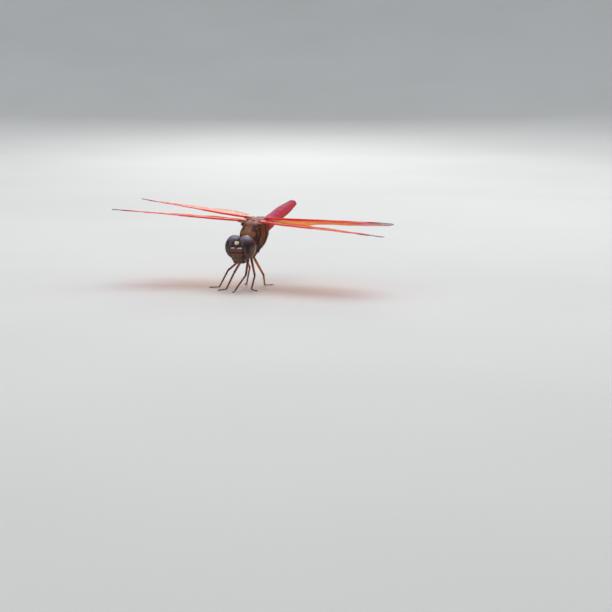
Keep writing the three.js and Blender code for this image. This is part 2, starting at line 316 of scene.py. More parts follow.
def ball_grid(steps: int) -> tuple[Array, Array]:
    """Evenly spread directions on a ball.

    Args:
        steps: Faces along each edge of the cube that the ball is blown up from.

    Returns:
        The directions, and the four-sided faces between them.
    """
    size = steps + 1
    a = np.tile(np.tan(np.linspace(-1, 1, size) * np.pi / 4), (size, 1))
    corners, quads = [], []
    for axis in range(3):
        for sign in (1.0, -1.0):
            side = np.empty((size, size, 3))
            side[..., axis] = sign
            side[..., (axis + 1) % 3] = a.T
            side[..., (axis + 2) % 3] = a * sign
            quads.append(len(corners) * size**2 + grid_quads(size, size)[:, [0, 3, 2, 1]])
            corners.append(side.reshape(-1, 3))
    directions = unit(np.concatenate(corners))
    _, first, inverse = np.unique(directions.round(6), axis=0, return_index=True, return_inverse=True)
    return directions[first], inverse.reshape(-1)[np.concatenate(quads)]


BALL = ball_grid(22)


@dataclass
class Form:
    """A growing mesh.

    Attributes:
        corners: Blocks of places in millimetres.
        faces: Blocks of faces, each block with one number of sides.
        values: For each named value, blocks that match those of corners.
        count: Corners so far.
    """

    corners: list[Array] = field(default_factory=list)
    faces: list[Array] = field(default_factory=list)
    values: dict[str, list[Array]] = field(default_factory=dict)
    count: int = 0

    @classmethod
    def of(cls, corners: Array, *faces: Array, **values: Array | float) -> Form:
        """A form of one block.

        Args:
            corners: Its corners, as add takes them.
            faces: Its faces.
            values: Its named values.

        Returns:
            The form.
        """
        form = cls()
        form.add(corners, *faces, **values)
        return form

    def add(self, corners: Array, *faces: Array, **values: Array | float) -> None:
        """Adds corners and the faces between them.

        Args:
            corners: Places in millimetres.
            faces: Blocks of faces, numbered from the first of these corners.
            values: Named values for these corners; a name left out is 0 here.
        """
        for name in set(self.values) | set(values):
            given = np.broadcast_to(np.asarray(values.get(name, 0.0), float), (len(corners),))
            self.values.setdefault(name, [np.zeros(self.count)]).append(given)
        self.corners.append(corners)
        self.faces.extend(block + self.count for block in faces)
        self.count += len(corners)

    def moved(self, place: Callable[[Array], Array]) -> Form:
        """The form itself, with its corners moved by a function of places."""
        self.corners = [place(np.concatenate(self.corners))]
        return self

    def ball(self, at: Point, radii: Point, square: float = 2.0) -> None:
        """Adds a closed ellipsoid.

        Args:
            at: Its middle.
            radii: Half its width, depth and height.
            square: 2 for an ellipsoid, more for a rounded box.
        """
        directions, quads = BALL
        size = (np.abs(directions) ** square).sum(axis=1, keepdims=True) ** (1.0 / square)
        self.add(directions / size * radii + at, quads)

    def sweep(self, path: Array, radii: Array, sides: int, rise: Array = UP, **values: Array | float) -> None:
        """Adds a closed tube.

        Args:
            path: The points of its centre line.
            radii: Its radius at each point, or half its width and half its height.
            sides: Corners round it.
            rise: A direction that its height lies toward.
            values: Named values along it.
        """
        steps = len(path)
        ring = hoops(unit(np.gradient(path, axis=0)), rise, radii, sides)
        corners = np.concatenate([(path[:, None] + ring).reshape(-1, 3), path[:1], path[-1:]])
        k = np.arange(sides)
        after, last = (k + 1) % sides, (steps - 1) * sides
        start = np.stack([np.full(sides, steps * sides), k, after], axis=1)
        end = np.stack([np.full(sides, steps * sides + 1), last + after, last + k], axis=1)
        spread = {}
        for name, value in values.items():
            along = np.broadcast_to(np.asarray(value, float), (steps,))
            spread[name] = np.concatenate([np.repeat(along, sides), along[[0, -1]]])
        self.add(corners, tube_quads(steps, sides), start, end, **spread)

    def rods(self, starts: Array, ends: Array, radii: Array, sides: int, **values: Array) -> None:
        """Adds many short straight rods, with open ends that other pieces hide.

        Args:
            starts: Where each starts.
            ends: Where each ends.
            radii: How thick each is.
            sides: Corners round a rod.
            values: Named values, one for each rod.
        """
        ring = hoops(unit(ends - starts), UP, radii, sides)
        corners = np.stack([starts[:, None] + ring, ends[:, None] + ring], axis=1).reshape(-1, 3)
        quads = tube_quads(2, sides) + np.arange(len(starts))[:, None, None] * 2 * sides
        spread = {name: np.repeat(value, 2 * sides) for name, value in values.items()}
        self.add(corners, quads.reshape(-1, 4), **spread)

    def spikes(
        self,
        roots: Array,
        ways: Array,
        bows: Array,
        radii: Array,
        patches: Array | None = None,
        **values: Array,
    ) -> None:
        """Adds many bent, three-sided hairs or spines.

        Args:
            roots: Where each grows from.
            ways: Its straight course from root to tip, before it is bent.
            bows: How far its tip is bent aside.
            radii: How thick it is at its root.
            patches: Each root's place on the skin's unwrap, from 0 to 1.
            values: Named values, one for each spike.
        """
        count, heading = len(roots), unit(ways)
        ring = hoops(heading, bows + TINY * np.roll(heading, 1, axis=1), radii, 3)
        low = (roots - 0.06 * ways)[:, None] + ring
        middle = (roots + 0.5 * ways + 0.3 * bows)[:, None] + 0.7 * ring
        tip = (roots + ways + bows)[:, None]
        corners = np.concatenate([low, middle, tip], axis=1)
        base = np.arange(count)[:, None, None] * 7
        quads = (base + [[0, 3, 4, 1], [1, 4, 5, 2], [2, 5, 3, 0]]).reshape(-1, 4)
        caps = (base + [[4, 3, 6], [5, 4, 6], [3, 5, 6]]).reshape(-1, 3)
        spread = {name: np.repeat(value, 7) for name, value in values.items()}
        spread["tip"] = np.tile([0.0, 0.0, 0.0, 0.5, 0.5, 0.5, 1.0], count)
        if patches is not None:
            aside = np.tile([0, 0.5, 1, 0, 0.5, 1, 0.5], count)
            spread["patch_u"] = np.repeat(patches[:, 0], 7) + aside * COAT_PATCH
            spread["patch_v"] = np.repeat(patches[:, 1], 7) + spread["tip"] * COAT_PATCH
        self.add(corners.reshape(-1, 3), quads, caps, **spread)

    def mesh(self, name: str, scale: float = MM, origin: Array | float = 0.0) -> bpy.types.Mesh:
        """Makes the mesh, with a smooth surface and each named value as an attribute.

        Args:
            name: What to call it.
            scale: The length of one unit of the form in the mesh.
            origin: What is added to every corner before scaling.

        Returns:
            The new mesh.
        """
        corners = (np.concatenate(self.corners) + origin) * scale
        sides = np.concatenate([np.full(len(block), block.shape[1]) for block in self.faces])
        loops = np.concatenate([block.ravel() for block in self.faces]).astype(np.int32)
        mesh = bpy.data.meshes.new(name)
        mesh.vertices.add(len(corners))
        mesh.vertices.foreach_set("co", corners.astype(np.float32).ravel())
        mesh.loops.add(len(loops))
        mesh.loops.foreach_set("vertex_index", loops)
        mesh.polygons.add(len(sides))
        mesh.polygons.foreach_set("loop_start", (np.cumsum(sides) - sides).astype(np.int32))
        mesh.polygons.foreach_set("use_smooth", np.ones(len(sides), bool))
        values = {key: np.concatenate(blocks) for key, blocks in self.values.items()}
        if "patch_u" in values:
            place = np.stack([values.pop("patch_u"), values.pop("patch_v")], axis=1)
            layer = mesh.uv_layers.new(name=COAT_MAP)
            layer.data.foreach_set("uv", place[loops].astype(np.float32).ravel())
        for key, value in values.items():
            attribute = mesh.attributes.new(key, "FLOAT", "POINT")
            attribute.data.foreach_set("value", value.astype(np.float32))
        mesh.update()
        return mesh

    def wrapped(self, voxel: float, smoothing: int) -> tuple[Array, Array]:
        """Wraps the closed, overlapping forms in one even skin.

        Args:
            voxel: Distance between the skin's corners.
            smoothing: How many times it is relaxed.

        Returns:
            The skin's corners and its four-sided faces.
        """
        mesh = self.mesh("wrap", scale=1.0)
        shell = bpy.data.objects.new("wrap", mesh)
        bpy.context.collection.objects.link(shell)
        remesh = shell.modifiers.new("wrap", "REMESH")
        remesh.mode, remesh.voxel_size = "VOXEL", voxel
        relax = shell.modifiers.new("relax", "SMOOTH")
        relax.factor, relax.iterations = 0.5, smoothing
        evaluated = shell.evaluated_get(bpy.context.evaluated_depsgraph_get())
        skin = evaluated.to_mesh()
        corners = np.empty((len(skin.vertices), 3), np.float32)
        quads = np.empty((len(skin.polygons), 4), np.int32)
        skin.vertices.foreach_get("co", corners.ravel())
        skin.loops.foreach_get("vertex_index", quads.ravel())
        evaluated.to_mesh_clear()
        bpy.data.objects.remove(shell)
        bpy.data.meshes.remove(mesh)
        return corners.astype(float), quads


def placed(name: str, mesh: bpy.types.Mesh, finish: Material) -> bpy.types.Object:
    """Puts a mesh in the scene.

    Args:
        name: The object's name.
        mesh: Its mesh.
        finish: Its material.

    Returns:
        The object.
    """
    mesh.materials.append(finish)
    piece = bpy.data.objects.new(name, mesh)
    bpy.context.collection.objects.link(piece)
    return piece


@dataclass(frozen=True)
class Stance:
    """Where the head and the tilted trunk stand in the model's frame.

    Attributes:
        head: The centre of the head, in millimetres.
        eyes_from_head: Where the middle of the two eyes lies from that centre.
        trunk_pitch: Degrees that the tail end of the trunk is raised.
        trunk_roll: Degrees that its left side is lowered.
    """

    head: Array
    eyes_from_head: Point = (0.0, 0.15, 0.03)
    trunk_pitch: float = 12.0
    trunk_roll: float = 2.5

    @classmethod
    def of_frame(cls) -> Stance:
        """Finds the head from the boxes of the two packed eyes."""
        boxes = np.array([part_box("eye_left"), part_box("eye_right")], float) / MM
        return cls((boxes[:, 0].min(axis=0) + boxes[:, 1].max(axis=0)) / 2.0 - cls.eyes_from_head)

    @property
    def floor(self) -> float:
        """The height of the floor from the centre of the head."""
        return -self.head[2]

    def from_trunk(self, points: Array) -> Array:
        """Points of the trunk's own frame, seen from the head."""
        tilt = turn(1, self.trunk_roll) @ turn(0, self.trunk_pitch)
        return np.asarray(points, float) @ tilt.T

    def piece(self, name: str, form: Form, slot: Slot, finish: Material, *nodes: str) -> None:
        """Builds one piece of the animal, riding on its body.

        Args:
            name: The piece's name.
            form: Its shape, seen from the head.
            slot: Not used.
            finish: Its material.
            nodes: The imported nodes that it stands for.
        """
        piece = placed(name, form.mesh(name, origin=self.head), finish)
        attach(piece, BODY)
        if nodes:
            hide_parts(*nodes)
        log.info("%s: %d faces", name, len(piece.data.polygons))


# ---- Finishes ----

Feed = Socket | float | tuple[float, ...]
Feeds = dict[str | int, Feed]
Sockets = dict[str, Socket]


class Graph:
    """A shader tree being wired, with a short method for each kind of node used."""

    def __init__(self, tree: bpy.types.NodeTree) -> None:
        """Starts on an empty tree."""
        self.tree = tree

    def node(self, kind: str, feeds: Feeds | None = None, **settings: object) -> Node:
        """Adds a node.

        Args:
            kind: The node's type, without its ShaderNode prefix.
            feeds: What goes into each input, as a socket to link or a value to set.
            settings: The node's own settings.

        Returns:
            The node.
        """
        made = self.tree.nodes.new(kind if kind.startswith("Node") else "ShaderNode" + kind)
        for name, setting in settings.items():
            setattr(made, name, setting)
        for name, feed in (feeds or {}).items():
            socket = made.inputs[name]
            if isinstance(feed, Socket):
                self.tree.links.new(feed, socket)
            else:
                socket.default_value = (*feed, 1.0) if socket.type == "RGBA" else feed
        return made

    def value(self, name: str) -> Socket:
        """A named value of the mesh."""
        return self.node("Attribute", attribute_name=name).outputs["Fac"]

    def maths(self, operation: str, a: Feed, b: Feed, clamp: bool = False) -> Socket:
        """The result of a sum on two numbers."""
        return self.node("Math", {0: a, 1: b}, operation=operation, use_clamp=clamp).outputs[0]

    def times(self, a: Feed, b: Feed) -> Socket:
        """The product of two numbers."""
        return self.maths("MULTIPLY", a, b)

    def band(self, value: Feed, low: float, high: float, start: float = 0.0, end: float = 1.0) -> Socket:
        """A number eased from start, where the value is low, to end, where it is high."""
        feeds = {"Value": value, "From Min": low, "From Max": high, "To Min": start, "To Max": end}
        return self.node("MapRange", feeds, interpolation_type="SMOOTHSTEP").outputs["Result"]

    def blend(self, part: Feed, a: Feed, b: Feed) -> Socket:
        """The colour a with a part of b laid over it."""
        return self.node("Mix", {0: part, 6: a, 7: b}, data_type="RGBA").outputs[2]

    def pattern(self, kind: str, output: str, **feeds: Feed) -> Socket:
        """A pattern fixed to the surface, whose scale is a count to the metre."""
        place = self.node("TexCoord").outputs["Object"]
        return self.node(kind, {"Vector": place, **feeds}).outputs[output]

    def noise(self, scale: Feed, detail: float = 3.0) -> Socket:
        """Cloudy noise."""
        return self.pattern("TexNoise", "Fac", Scale=scale, Detail=detail, Roughness=0.55)

    def bump(self, height: Feed, depth: float, strength: float = 1.0) -> Socket:
        """The normal of a surface embossed to a depth in millimetres."""
        feeds = {"Height": height, "Distance": depth * MM, "Strength": strength}
        return self.node("Bump", feeds).outputs["Normal"]


class Effect:
    """A shader node group used by more than one finish, built once.

    Attributes:
        name: The group's name.
        inputs: Its inputs, each with a starting value.
        outputs: Its outputs.
    """

    name: str
    inputs: dict[str, float]
    outputs: tuple[str, ...]

    def wire(self, graph: Graph, inputs: Sockets) -> Sockets:
        """Wires the inside of the group from its inputs, and gives what feeds each output."""
        raise NotImplementedError

    def tree(self) -> bpy.types.NodeTree:
        """The group's tree, made the first time that it is asked for."""
        made = bpy.data.node_groups.get(self.name)
        if made is None:
            made = bpy.data.node_groups.new(self.name, "ShaderNodeTree")
            for name, start in self.inputs.items():
                socket = made.interface.new_socket(name, in_out="INPUT", socket_type="NodeSocketFloat")
                socket.default_value = start
            for name in self.outputs:
                made.interface.new_socket(name, in_out="OUTPUT", socket_type="NodeSocketFloat")
            graph = Graph(made)
            brought = graph.node("NodeGroupInput").outputs
            graph.node("NodeGroupOutput", self.wire(graph, {name: brought[name] for name in self.inputs}))
        return made

    def on(self, graph: Graph, **feeds: Feed) -> Sockets:
        """Places the group in a finish, and gives its outputs by name."""
        group = graph.node("Group", feeds, node_tree=self.tree())
        return {name: group.outputs[name] for name in self.outputs}


class CuticleGrain(Effect):
    """Fine grain of the shell: soft swells with small pits between them.

    Scale is the number of pits to the millimetre and Pitting how deep they look.
    """

    name = "Cuticle grain"
    inputs = {"Scale": 8.0, "Pitting": 0.5}
    outputs = ("Height", "Tone")

    def wire(self, graph: Graph, inputs: Sockets) -> Sockets:
        """Wires swells, pits and a cloudy tone.

        Args:
            graph: The group's tree.
            inputs: What brings its inputs.

        Returns:
            What feeds its outputs.
        """
        fine = graph.times(inputs["Scale"], 1.0 / MM)
        swell = graph.noise(graph.times(fine, 0.6))
        pit = graph.band(graph.pattern("TexVoronoi", "Distance", Scale=fine), 0.1, 0.45)
        sunk = graph.times(graph.maths("SUBTRACT", pit, 1.0), inputs["Pitting"])
        clouds = graph.noise(graph.times(inputs["Scale"], 0.22 / MM), detail=5.0)
        return {"Height": graph.maths("ADD", swell, sunk), "Tone": graph.band(clouds, 0.3, 0.7)}


class RaggedMark(Effect):
    """A marking whose edge wanders as natural pigment does.

    Mask is the plain marking, Scale the number of notches to the millimetre, Raggedness how far they cut
    into it and Softness the width of its edge.
    """

    name = "Ragged mark"
    inputs = {"Mask": 0.0, "Scale": 3.0, "Raggedness": 0.3, "Softness": 0.25}
    outputs = ("Mask",)

    def wire(self, graph: Graph, inputs: Sockets) -> Sockets:
        """Wires noise into the mask and trims it to the softness.

        Args:
            graph: The group's tree.
            inputs: What brings its inputs.

        Returns:
            What feeds its output.
        """
        noise = graph.noise(graph.times(inputs["Scale"], 1.0 / MM), detail=4.0)
        shift = graph.times(graph.maths("SUBTRACT", noise, 0.5), inputs["Raggedness"])
        moved = graph.maths("SUBTRACT", graph.maths("ADD", inputs["Mask"], shift), 0.5)
        spread = graph.maths("DIVIDE", moved, inputs["Softness"])
        return {"Mask": graph.maths("ADD", spread, 0.5, clamp=True)}


class Bloom(Effect):
    """A waxy powder with painted glare, laid where the mask and the upward faces of the surface let it, so
    that faces turned up to the light are paler.

    Mask is where it may lie, Scale the number of clouds to the millimetre and Cover how much of it there is.
    """

    name = "Waxy bloom"
    inputs = {"Mask": 1.0, "Scale": 4.0, "Cover": 0.5}
    outputs = ("Mask",)

    def wire(self, graph: Graph, inputs: Sockets) -> Sockets:
        """Wires the surface's upward part, clouds and fine grains.

        Args:
            graph: The group's tree.
            inputs: What brings its inputs.

        Returns:
            What feeds its output.
        """
        normal = graph.node("NewGeometry").outputs["Normal"]
        upward = graph.band(graph.node("SeparateXYZ", {0: normal}).outputs["Z"], -0.1, 0.9)
        clouds = graph.band(graph.noise(graph.times(inputs["Scale"], 1.0 / MM), detail=6.0), 0.3, 0.7)
        grains = graph.band(graph.noise(graph.times(inputs["Scale"], 9.0 / MM)), 0.35, 0.65, 0.6, 1.0)
        lying = graph.times(graph.times(graph.times(upward, clouds), grains), inputs["Mask"])
        return {"Mask": graph.maths("MULTIPLY", lying, inputs["Cover"], clamp=True)}


GRAIN, RAGGED, WAX_AND_PAINTED_GLARE = CuticleGrain(), RaggedMark(), Bloom()


class Finish:
    """What every finish shares: it is wired in a material of its own name."""

    name: str

    def wire(self, graph: Graph) -> Node:
        """Wires the finish in its tree, and gives its last shader."""
        raise NotImplementedError

    def material(self) -> Material:
        """Builds the material."""
        made = bpy.data.materials.new(self.name)
        made.use_nodes = True
        made.node_tree.nodes.clear()
        graph = Graph(made.node_tree)
        graph.node("OutputMaterial", {"Surface": self.wire(graph).outputs[0]})
        return made


@dataclass(frozen=True)
class Marking:
    """A colour laid over a finish where a named value of the mesh is high.

    Attributes:
        value: The name of that value.
        colour: The marking's colour.
        ragged: How far its edge wanders, from 0 to 1.
        scale: Notches of its edge to the millimetre.
        soft: Width of its edge, as a part of the value's range.
        cover: How much of the colour beneath it hides.
    """

    value: str
    colour: Colour
    ragged: float = 0.3
    scale: float = 3.0
    soft: float = 0.3
    cover: float = 1.0

    def over(self, graph: Graph, colour: Socket) -> Socket:
        """Lays the marking over a colour.

        Args:
            graph: The finish's tree.
            colour: The colour beneath.

        Returns:
            The colour with the marking.
        """
        feeds = {"Scale": self.scale, "Raggedness": self.ragged, "Softness": self.soft}
        mask = RAGGED.on(graph, Mask=graph.value(self.value), **feeds)["Mask"]
        if self.cover < 1.0:
            mask = graph.times(mask, self.cover)
        return graph.blend(mask, colour, self.colour)


@dataclass(frozen=True)
class Cuticle(Finish):
    """The shell of the body and legs.

    Attributes:
        name: The finish's name.
        colour: Its ground colour.
        shade: The colour of its darker clouds.
        markings: What is laid over them, in order.
        rough: Roughness of its smoothest and its dullest places.
        grain: Pits to the millimetre.
        pitting: How deep the pits look.
        relief: Depth of the whole grain in millimetres.
        bloom: Colour of the waxy powder on it, which on the thorax also serves as painted glare.
        bloom_cover: How much of that powder and painted glare there is; the mesh's value "bloom" says where.
        gloss: Weight of the clear lacquer over it.
        shine: How strongly the shell itself mirrors light.
        velvet: Weight of the down too fine to model.
        glow: How far light goes into it, as a weight.
    """

    name: str
    colour: Colour
    shade: Colour
    markings: tuple[Marking, ...] = ()
    rough: tuple[float, float] = (0.35, 0.6)
    grain: float = 9.0
    pitting: float = 0.5
    relief: float = 0.012
    bloom: Colour = (0.8, 0.7, 0.75)
    bloom_cover: float = 0.0
    gloss: float = 0.0
    shine: float = 0.5
    velvet: float = 0.0
    glow: float = 0.0

    def wire(self, graph: Graph) -> Node:
        """Wires clouds, markings, waxy powder with painted glare, and grain.

        Args:
            graph: The material's tree.

        Returns:
            The shader.
        """
        grain = GRAIN.on(graph, Scale=self.grain, Pitting=self.pitting)
        colour = graph.blend(grain["Tone"], self.colour, self.shade)
        for mark in self.markings:
            colour = mark.over(graph, colour)
        roughness = graph.band(grain["Tone"], 0.0, 1.0, *self.rough)
        if self.bloom_cover:
            # Waxy powder and painted glare, paler on the faces turned up to the light.
            wax_and_glare = WAX_AND_PAINTED_GLARE.on(graph, Mask=graph.value("bloom"), Cover=self.bloom_cover)["Mask"]
            colour = graph.blend(wax_and_glare, colour, self.bloom)
            roughness = graph.maths("ADD", roughness, graph.times(wax_and_glare, 0.35), clamp=True)
        return graph.node("BsdfPrincipled", {
            "Base Color": colour,
            "Roughness": roughness,
            "Normal": graph.bump(grain["Height"], self.relief),
            "Specular IOR Level": self.shine,
            "Coat Weight": self.gloss,
            "Coat Roughness": 0.12,
            "Sheen Weight": self.velvet,
            "Sheen Roughness": 0.4,
            "Sheen Tint": (1.0, 0.86, 0.7),
            "Subsurface Weight": self.glow,
            "Subsurface Radius": (1.0, 0.35, 0.2),
            "Subsurface Scale": 0.4 * MM,
        })


@dataclass(frozen=True)
class EyeGlaze(Finish):
    """The lens of a compound eye: dark above, olive below, with a painted violet reflection of the sky over
    its top and painted shade along its inner edge by the face.

    Attributes:
        name: The finish's name.
        crown: Colour of the upper half.
        belly: Colour of the lower half.
        rim: Colour along the outer edge.
        spot: Colour of the dark spot in front, and of the painted shade along the inner edge next to the
            face.
        border: Colour between the lenses.
        painted_sky_sheen: Tint of the painted reflection of the sky laid over the eye's top.
    """

    name: str = "Compound eye"
    crown: Colour = (0.042, 0.014, 0.021)
    belly: Colour = (0.115, 0.058, 0.026)
    rim: Colour = (0.24, 0.135, 0.060)
    spot: Colour = (0.005, 0.003, 0.004)
    border: Colour = (0.004, 0.002, 0.003)
    painted_sky_sheen: Colour = (0.48, 0.40, 0.60)

    def wire(self, graph: Graph) -> Node:
        """Wires the eye's colours, its lens pattern and its sheen.

        Args:
            graph: The material's tree.

        Returns:
            The shader.
        """
        crown = RAGGED.on(graph, Mask=graph.value("crown"), Scale=1.2, Raggedness=0.25, Softness=0.55)["Mask"]
        colour = graph.blend(crown, self.belly, self.crown)
        colour = graph.blend(graph.value("rim"), colour, self.rim)
        # The spot value also carries painted shade along the eye's inner edge beside the face.
        colour = graph.blend(graph.value("spot"), colour, self.spot)
        lens = graph.value("lens")
        tone = GRAIN.on(graph, Scale=3.0, Pitting=0.0)["Tone"]
        colour = graph.blend(graph.band(lens, 0.0, 0.5, 0.55, 0.0), colour, self.border)
        # Painted reflection: a lilac tint over the upward faces of the eye, standing in for the sky mirrored
        # there.
        painted_sky_sheen = graph.band(graph.value("sky"), 0.25, 1.0, 0.0, 0.3)
        colour = graph.blend(graph.times(painted_sky_sheen, graph.band(tone, 0.0, 1.0, 0.6, 1.0)), colour, self.painted_sky_sheen)
        return graph.node("BsdfPrincipled", {
            "Base Color": colour,
            "Roughness": graph.band(tone, 0.0, 1.0, 0.22, 0.34),
            "Normal": graph.bump(lens, 0.004, 0.5),
            "Specular IOR Level": 0.35,
            "Coat Weight": 0.18,
            "Coat Roughness": 0.16,
        })


@dataclass(frozen=True)
class WingFilm(Finish):
    """The wing's film: amber near the body, water clear toward the tip, with light shining through.

    Attributes:
        name: The finish's name.
        amber: The stain near the body, seen against the light.
        edge: The deeper stain along the leading edge.
        blush: The stain's fading outer part.
        clear: The unstained film.
        lobe: The yellow-olive inner rear lobe.
        stain_end: Parts of the wing's length between which the stain fades.
    """

    name: str = "Wing film"
    amber: Colour = (1.0, 0.36, 0.055)
    edge: Colour = (0.92, 0.045, 0.065)
    blush: Colour = (1.0, 0.25, 0.30)
    clear: Colour = (0.92, 0.90, 0.93)
    lobe: Colour = (0.45, 0.30, 0.045)
    stain_end: tuple[float, float] = (0.68, 0.92)

    def wire(self, graph: Graph) -> Node:
        """Wires the stain, and mixes a glossy film with light shining through and open air.

        Args:
            graph: The material's tree.

        Returns:
            The shader.
        """
        inner, outer = self.stain_end
        tone = GRAIN.on(graph, Scale=2.0, Pitting=0.0)["Tone"]
        reach = graph.maths("ADD", graph.value("reach"), graph.band(tone, 0.0, 1.0, -0.03, 0.03))
        stain = graph.band(reach, outer, inner)
        colour = graph.blend(graph.value("front"), self.amber, self.edge)
        colour = graph.blend(graph.value("lobe"), colour, self.lobe)
        colour = graph.blend(graph.band(reach, inner - 0.02, inner + 0.08), colour, self.blush)
        colour = graph.blend(stain, self.clear, colour)
        cell = graph.value("cell")
        near_vein = graph.band(cell, 0.0, 0.16, 0.35, 0.0)
        colour = graph.blend(graph.times(near_vein, stain), colour, self.edge)
        wrinkle = graph.maths("ADD", graph.noise(2.2 / MM, detail=4.0), graph.times(cell, 3.0))
        surface = graph.node("BsdfPrincipled", {
            "Base Color": colour,
            "Roughness": graph.band(tone, 0.0, 1.0, 0.16, 0.28),
            "Normal": graph.bump(wrinkle, 0.02, 0.6),
            "Coat Weight": 1.0,
            "Coat Roughness": 0.12,
            "Sheen Weight": 0.35,
            "Sheen Roughness": 0.3,
            "Sheen Tint": (1.0, 0.84, 0.88),
        })
        through = graph.node("BsdfTranslucent", {"Color": colour})
        open_air = graph.node("BsdfTransparent", {"Color": colour})
        solid = graph.node("MixShader", {0: 0.55, 1: surface.outputs[0], 2: through.outputs[0]})
        gap = graph.band(stain, 0.0, 1.0, 0.72, 0.34)
        return graph.node("MixShader", {0: gap, 1: solid.outputs[0], 2: open_air.outputs[0]})


@dataclass(frozen=True)
class DownFinish(Finish):
    """Fine hair: darker at the root, with the skin's own markings.

    Attributes:
        name: The finish's name.
        root: Colour at the skin.
        tip: Colour at the tip.
        mark: Colour over the skin's dark streaks.
    """

    name: str
    root: Colour
    tip: Colour
    mark: Colour

    def wire(self, graph: Graph) -> Node:
        """Wires the hair's colour from root to tip and the streaks.

        Args:
            graph: The material's tree.

        Returns:
            The shader.
        """
        grain = GRAIN.on(graph, Scale=4.0, Pitting=0.2)
        streak = RAGGED.on(graph, Mask=graph.value("streak"), Scale=3.0, Raggedness=0.4, Softness=0.4)["Mask"]
        root = graph.blend(graph.times(grain["Tone"], 0.5), self.root, self.mark)
        colour = graph.blend(graph.band(graph.value("tip"), 0.0, 0.9), root, self.tip)
        return graph.node("BsdfPrincipled", {
            "Base Color": graph.blend(graph.times(streak, 0.75), colour, self.mark),
            "Roughness": graph.band(grain["Tone"], 0.0, 1.0, 0.42, 0.62),
            "Normal": graph.bump(grain["Height"], 0.004),
            "Sheen Weight": 0.3,
            "Sheen Roughness": 0.4,
        })


# ---- Coat ----


@dataclass
class Coat:
    """Single hairs grown on a skin, lying along the body.

    Attributes:
        count: Number of hairs.
        length: Shortest and longest hair.
        radius: Thickness of a hair at its root.
        lean: How far the hair leaves the surface, from 0, flat, to 1, upright.
        flow: The way that it lies on the sides, and on what faces forward.
        centre: The point that the skin is unwrapped round.
        seed: Which roots.
        carried: Values of the skin that the hair takes over at its root.
    """

    count: int
    length: tuple[float, float]
    radius: float
    lean: float
    flow: tuple[Point, Point]
    centre: Point
    seed: int
    carried: tuple[str, ...] = ()

    def unwrap(self, points: Array) -> Array:
        """The skin's own unwrap.

        Args:
            points: Places on the skin.

        Returns:
            Where they lie round the body and along it, from 0 to 1.
        """
        x, y, z = (points - self.centre).T
        around, along = np.arctan2(x, z) / 2.0, np.arctan2(y, np.hypot(x, z))
        return (np.stack([around, along], axis=1) / np.pi + 0.5) * 0.98 + 0.01

    def grow(self, skin: Form, density: Callable[[Array, Array], Array]) -> Form:
        """Grows the hair.

        Args:
            skin: The form that it grows on, whose last faces have four sides.
            density: How thickly it grows at places with given normals.

        Returns:
            The hair.
        """
        source = np.random.default_rng(self.seed)
        corners = np.concatenate(skin.corners)
        quads = np.concatenate([block for block in skin.faces if block.shape[1] == 4])
        normals = normals_of(corners, quads)
        a, b, c, d = (corners[quads[:, k]] for k in range(4))
        area = np.linalg.norm(np.cross(c - a, d - b), axis=1)
        weight = area * density(corners[quads].mean(axis=1), unit(normals[quads].mean(axis=1)))
        quads = quads[source.choice(len(quads), self.count, p=weight / weight.sum())]
        u, v = source.random((2, self.count, 1))
        mix = np.stack([(1 - u) * (1 - v), u * (1 - v), u * v, (1 - u) * v], axis=1)
        roots = (corners[quads] * mix).sum(axis=1)
        normal = unit((normals[quads] * mix).sum(axis=1))
        flow = lerp(*np.array(self.flow), ease(-0.3, -0.7, normal[:, 1:2]))
        flow = unit(flow - normal * (flow * normal).sum(axis=1, keepdims=True))
        stray = source.normal(size=(self.count, 3)) * 0.22
        way = unit(normal * self.lean + flow * (1.0 - self.lean) + stray)
        sunk = (way * normal).sum(axis=1, keepdims=True)
        way = unit(way + normal * np.clip(0.12 - sunk, 0.0, None))
        length = source.uniform(*self.length, (self.count, 1))
        bow = (flow * 0.22 - normal * 0.1 + source.normal(size=(self.count, 3)) * 0.06) * length
        whole = {name: np.concatenate(skin.values[name]) for name in self.carried}
        carried = {name: (value[quads] * mix[..., 0]).sum(axis=1) for name, value in whole.items()}
        form, thick = Form(), self.radius * source.uniform(0.7, 1.2, self.count)
        form.spikes(roots, way * length, bow, thick, self.unwrap(roots), **carried)
        return form


# ---- Head ----


def hex_ball(level: int) -> tuple[Array, Array, Array]:
    """A ball covered in six-sided cells, each a low cone of triangles.

    Args:
        level: How many times an icosahedron is split.

    Returns:
        Directions, faces, and 1 at the middle of each cell and 0 round its edge.
    """
    net = bmesh.new()
    bmesh.ops.create_icosphere(net, subdivisions=level, radius=1.0)
    net.verts.index_update()
    middles = unit(np.array([corner.co[:] for corner in net.verts]))
    faces = np.array([[corner.index for corner in face.verts] for face in net.faces])
    net.free()
    knots = unit(middles[faces].mean(axis=1))
    edges = np.sort(np.concatenate([faces[:, [0, 1]], faces[:, [1, 2]], faces[:, [2, 0]]]), axis=1)
    order = np.lexsort((edges[:, 1], edges[:, 0]))
    one, two = (np.tile(np.arange(len(faces)), 3)[order] + len(middles)).reshape(-1, 2).T
    a, b = edges[order[::2]].T
    cones = np.concatenate([np.stack([a, one, two], axis=1), np.stack([b, two, one], axis=1)])
    points = np.concatenate([middles, knots])
    first, second, third = (points[cones[:, k]] for k in range(3))
    inward = (np.cross(second - first, third - first) * first).sum(axis=1) < 0
    cones[inward] = cones[inward][:, ::-1]
    return points, cones, np.repeat((1.0, 0.0), (len(middles), len(knots)))


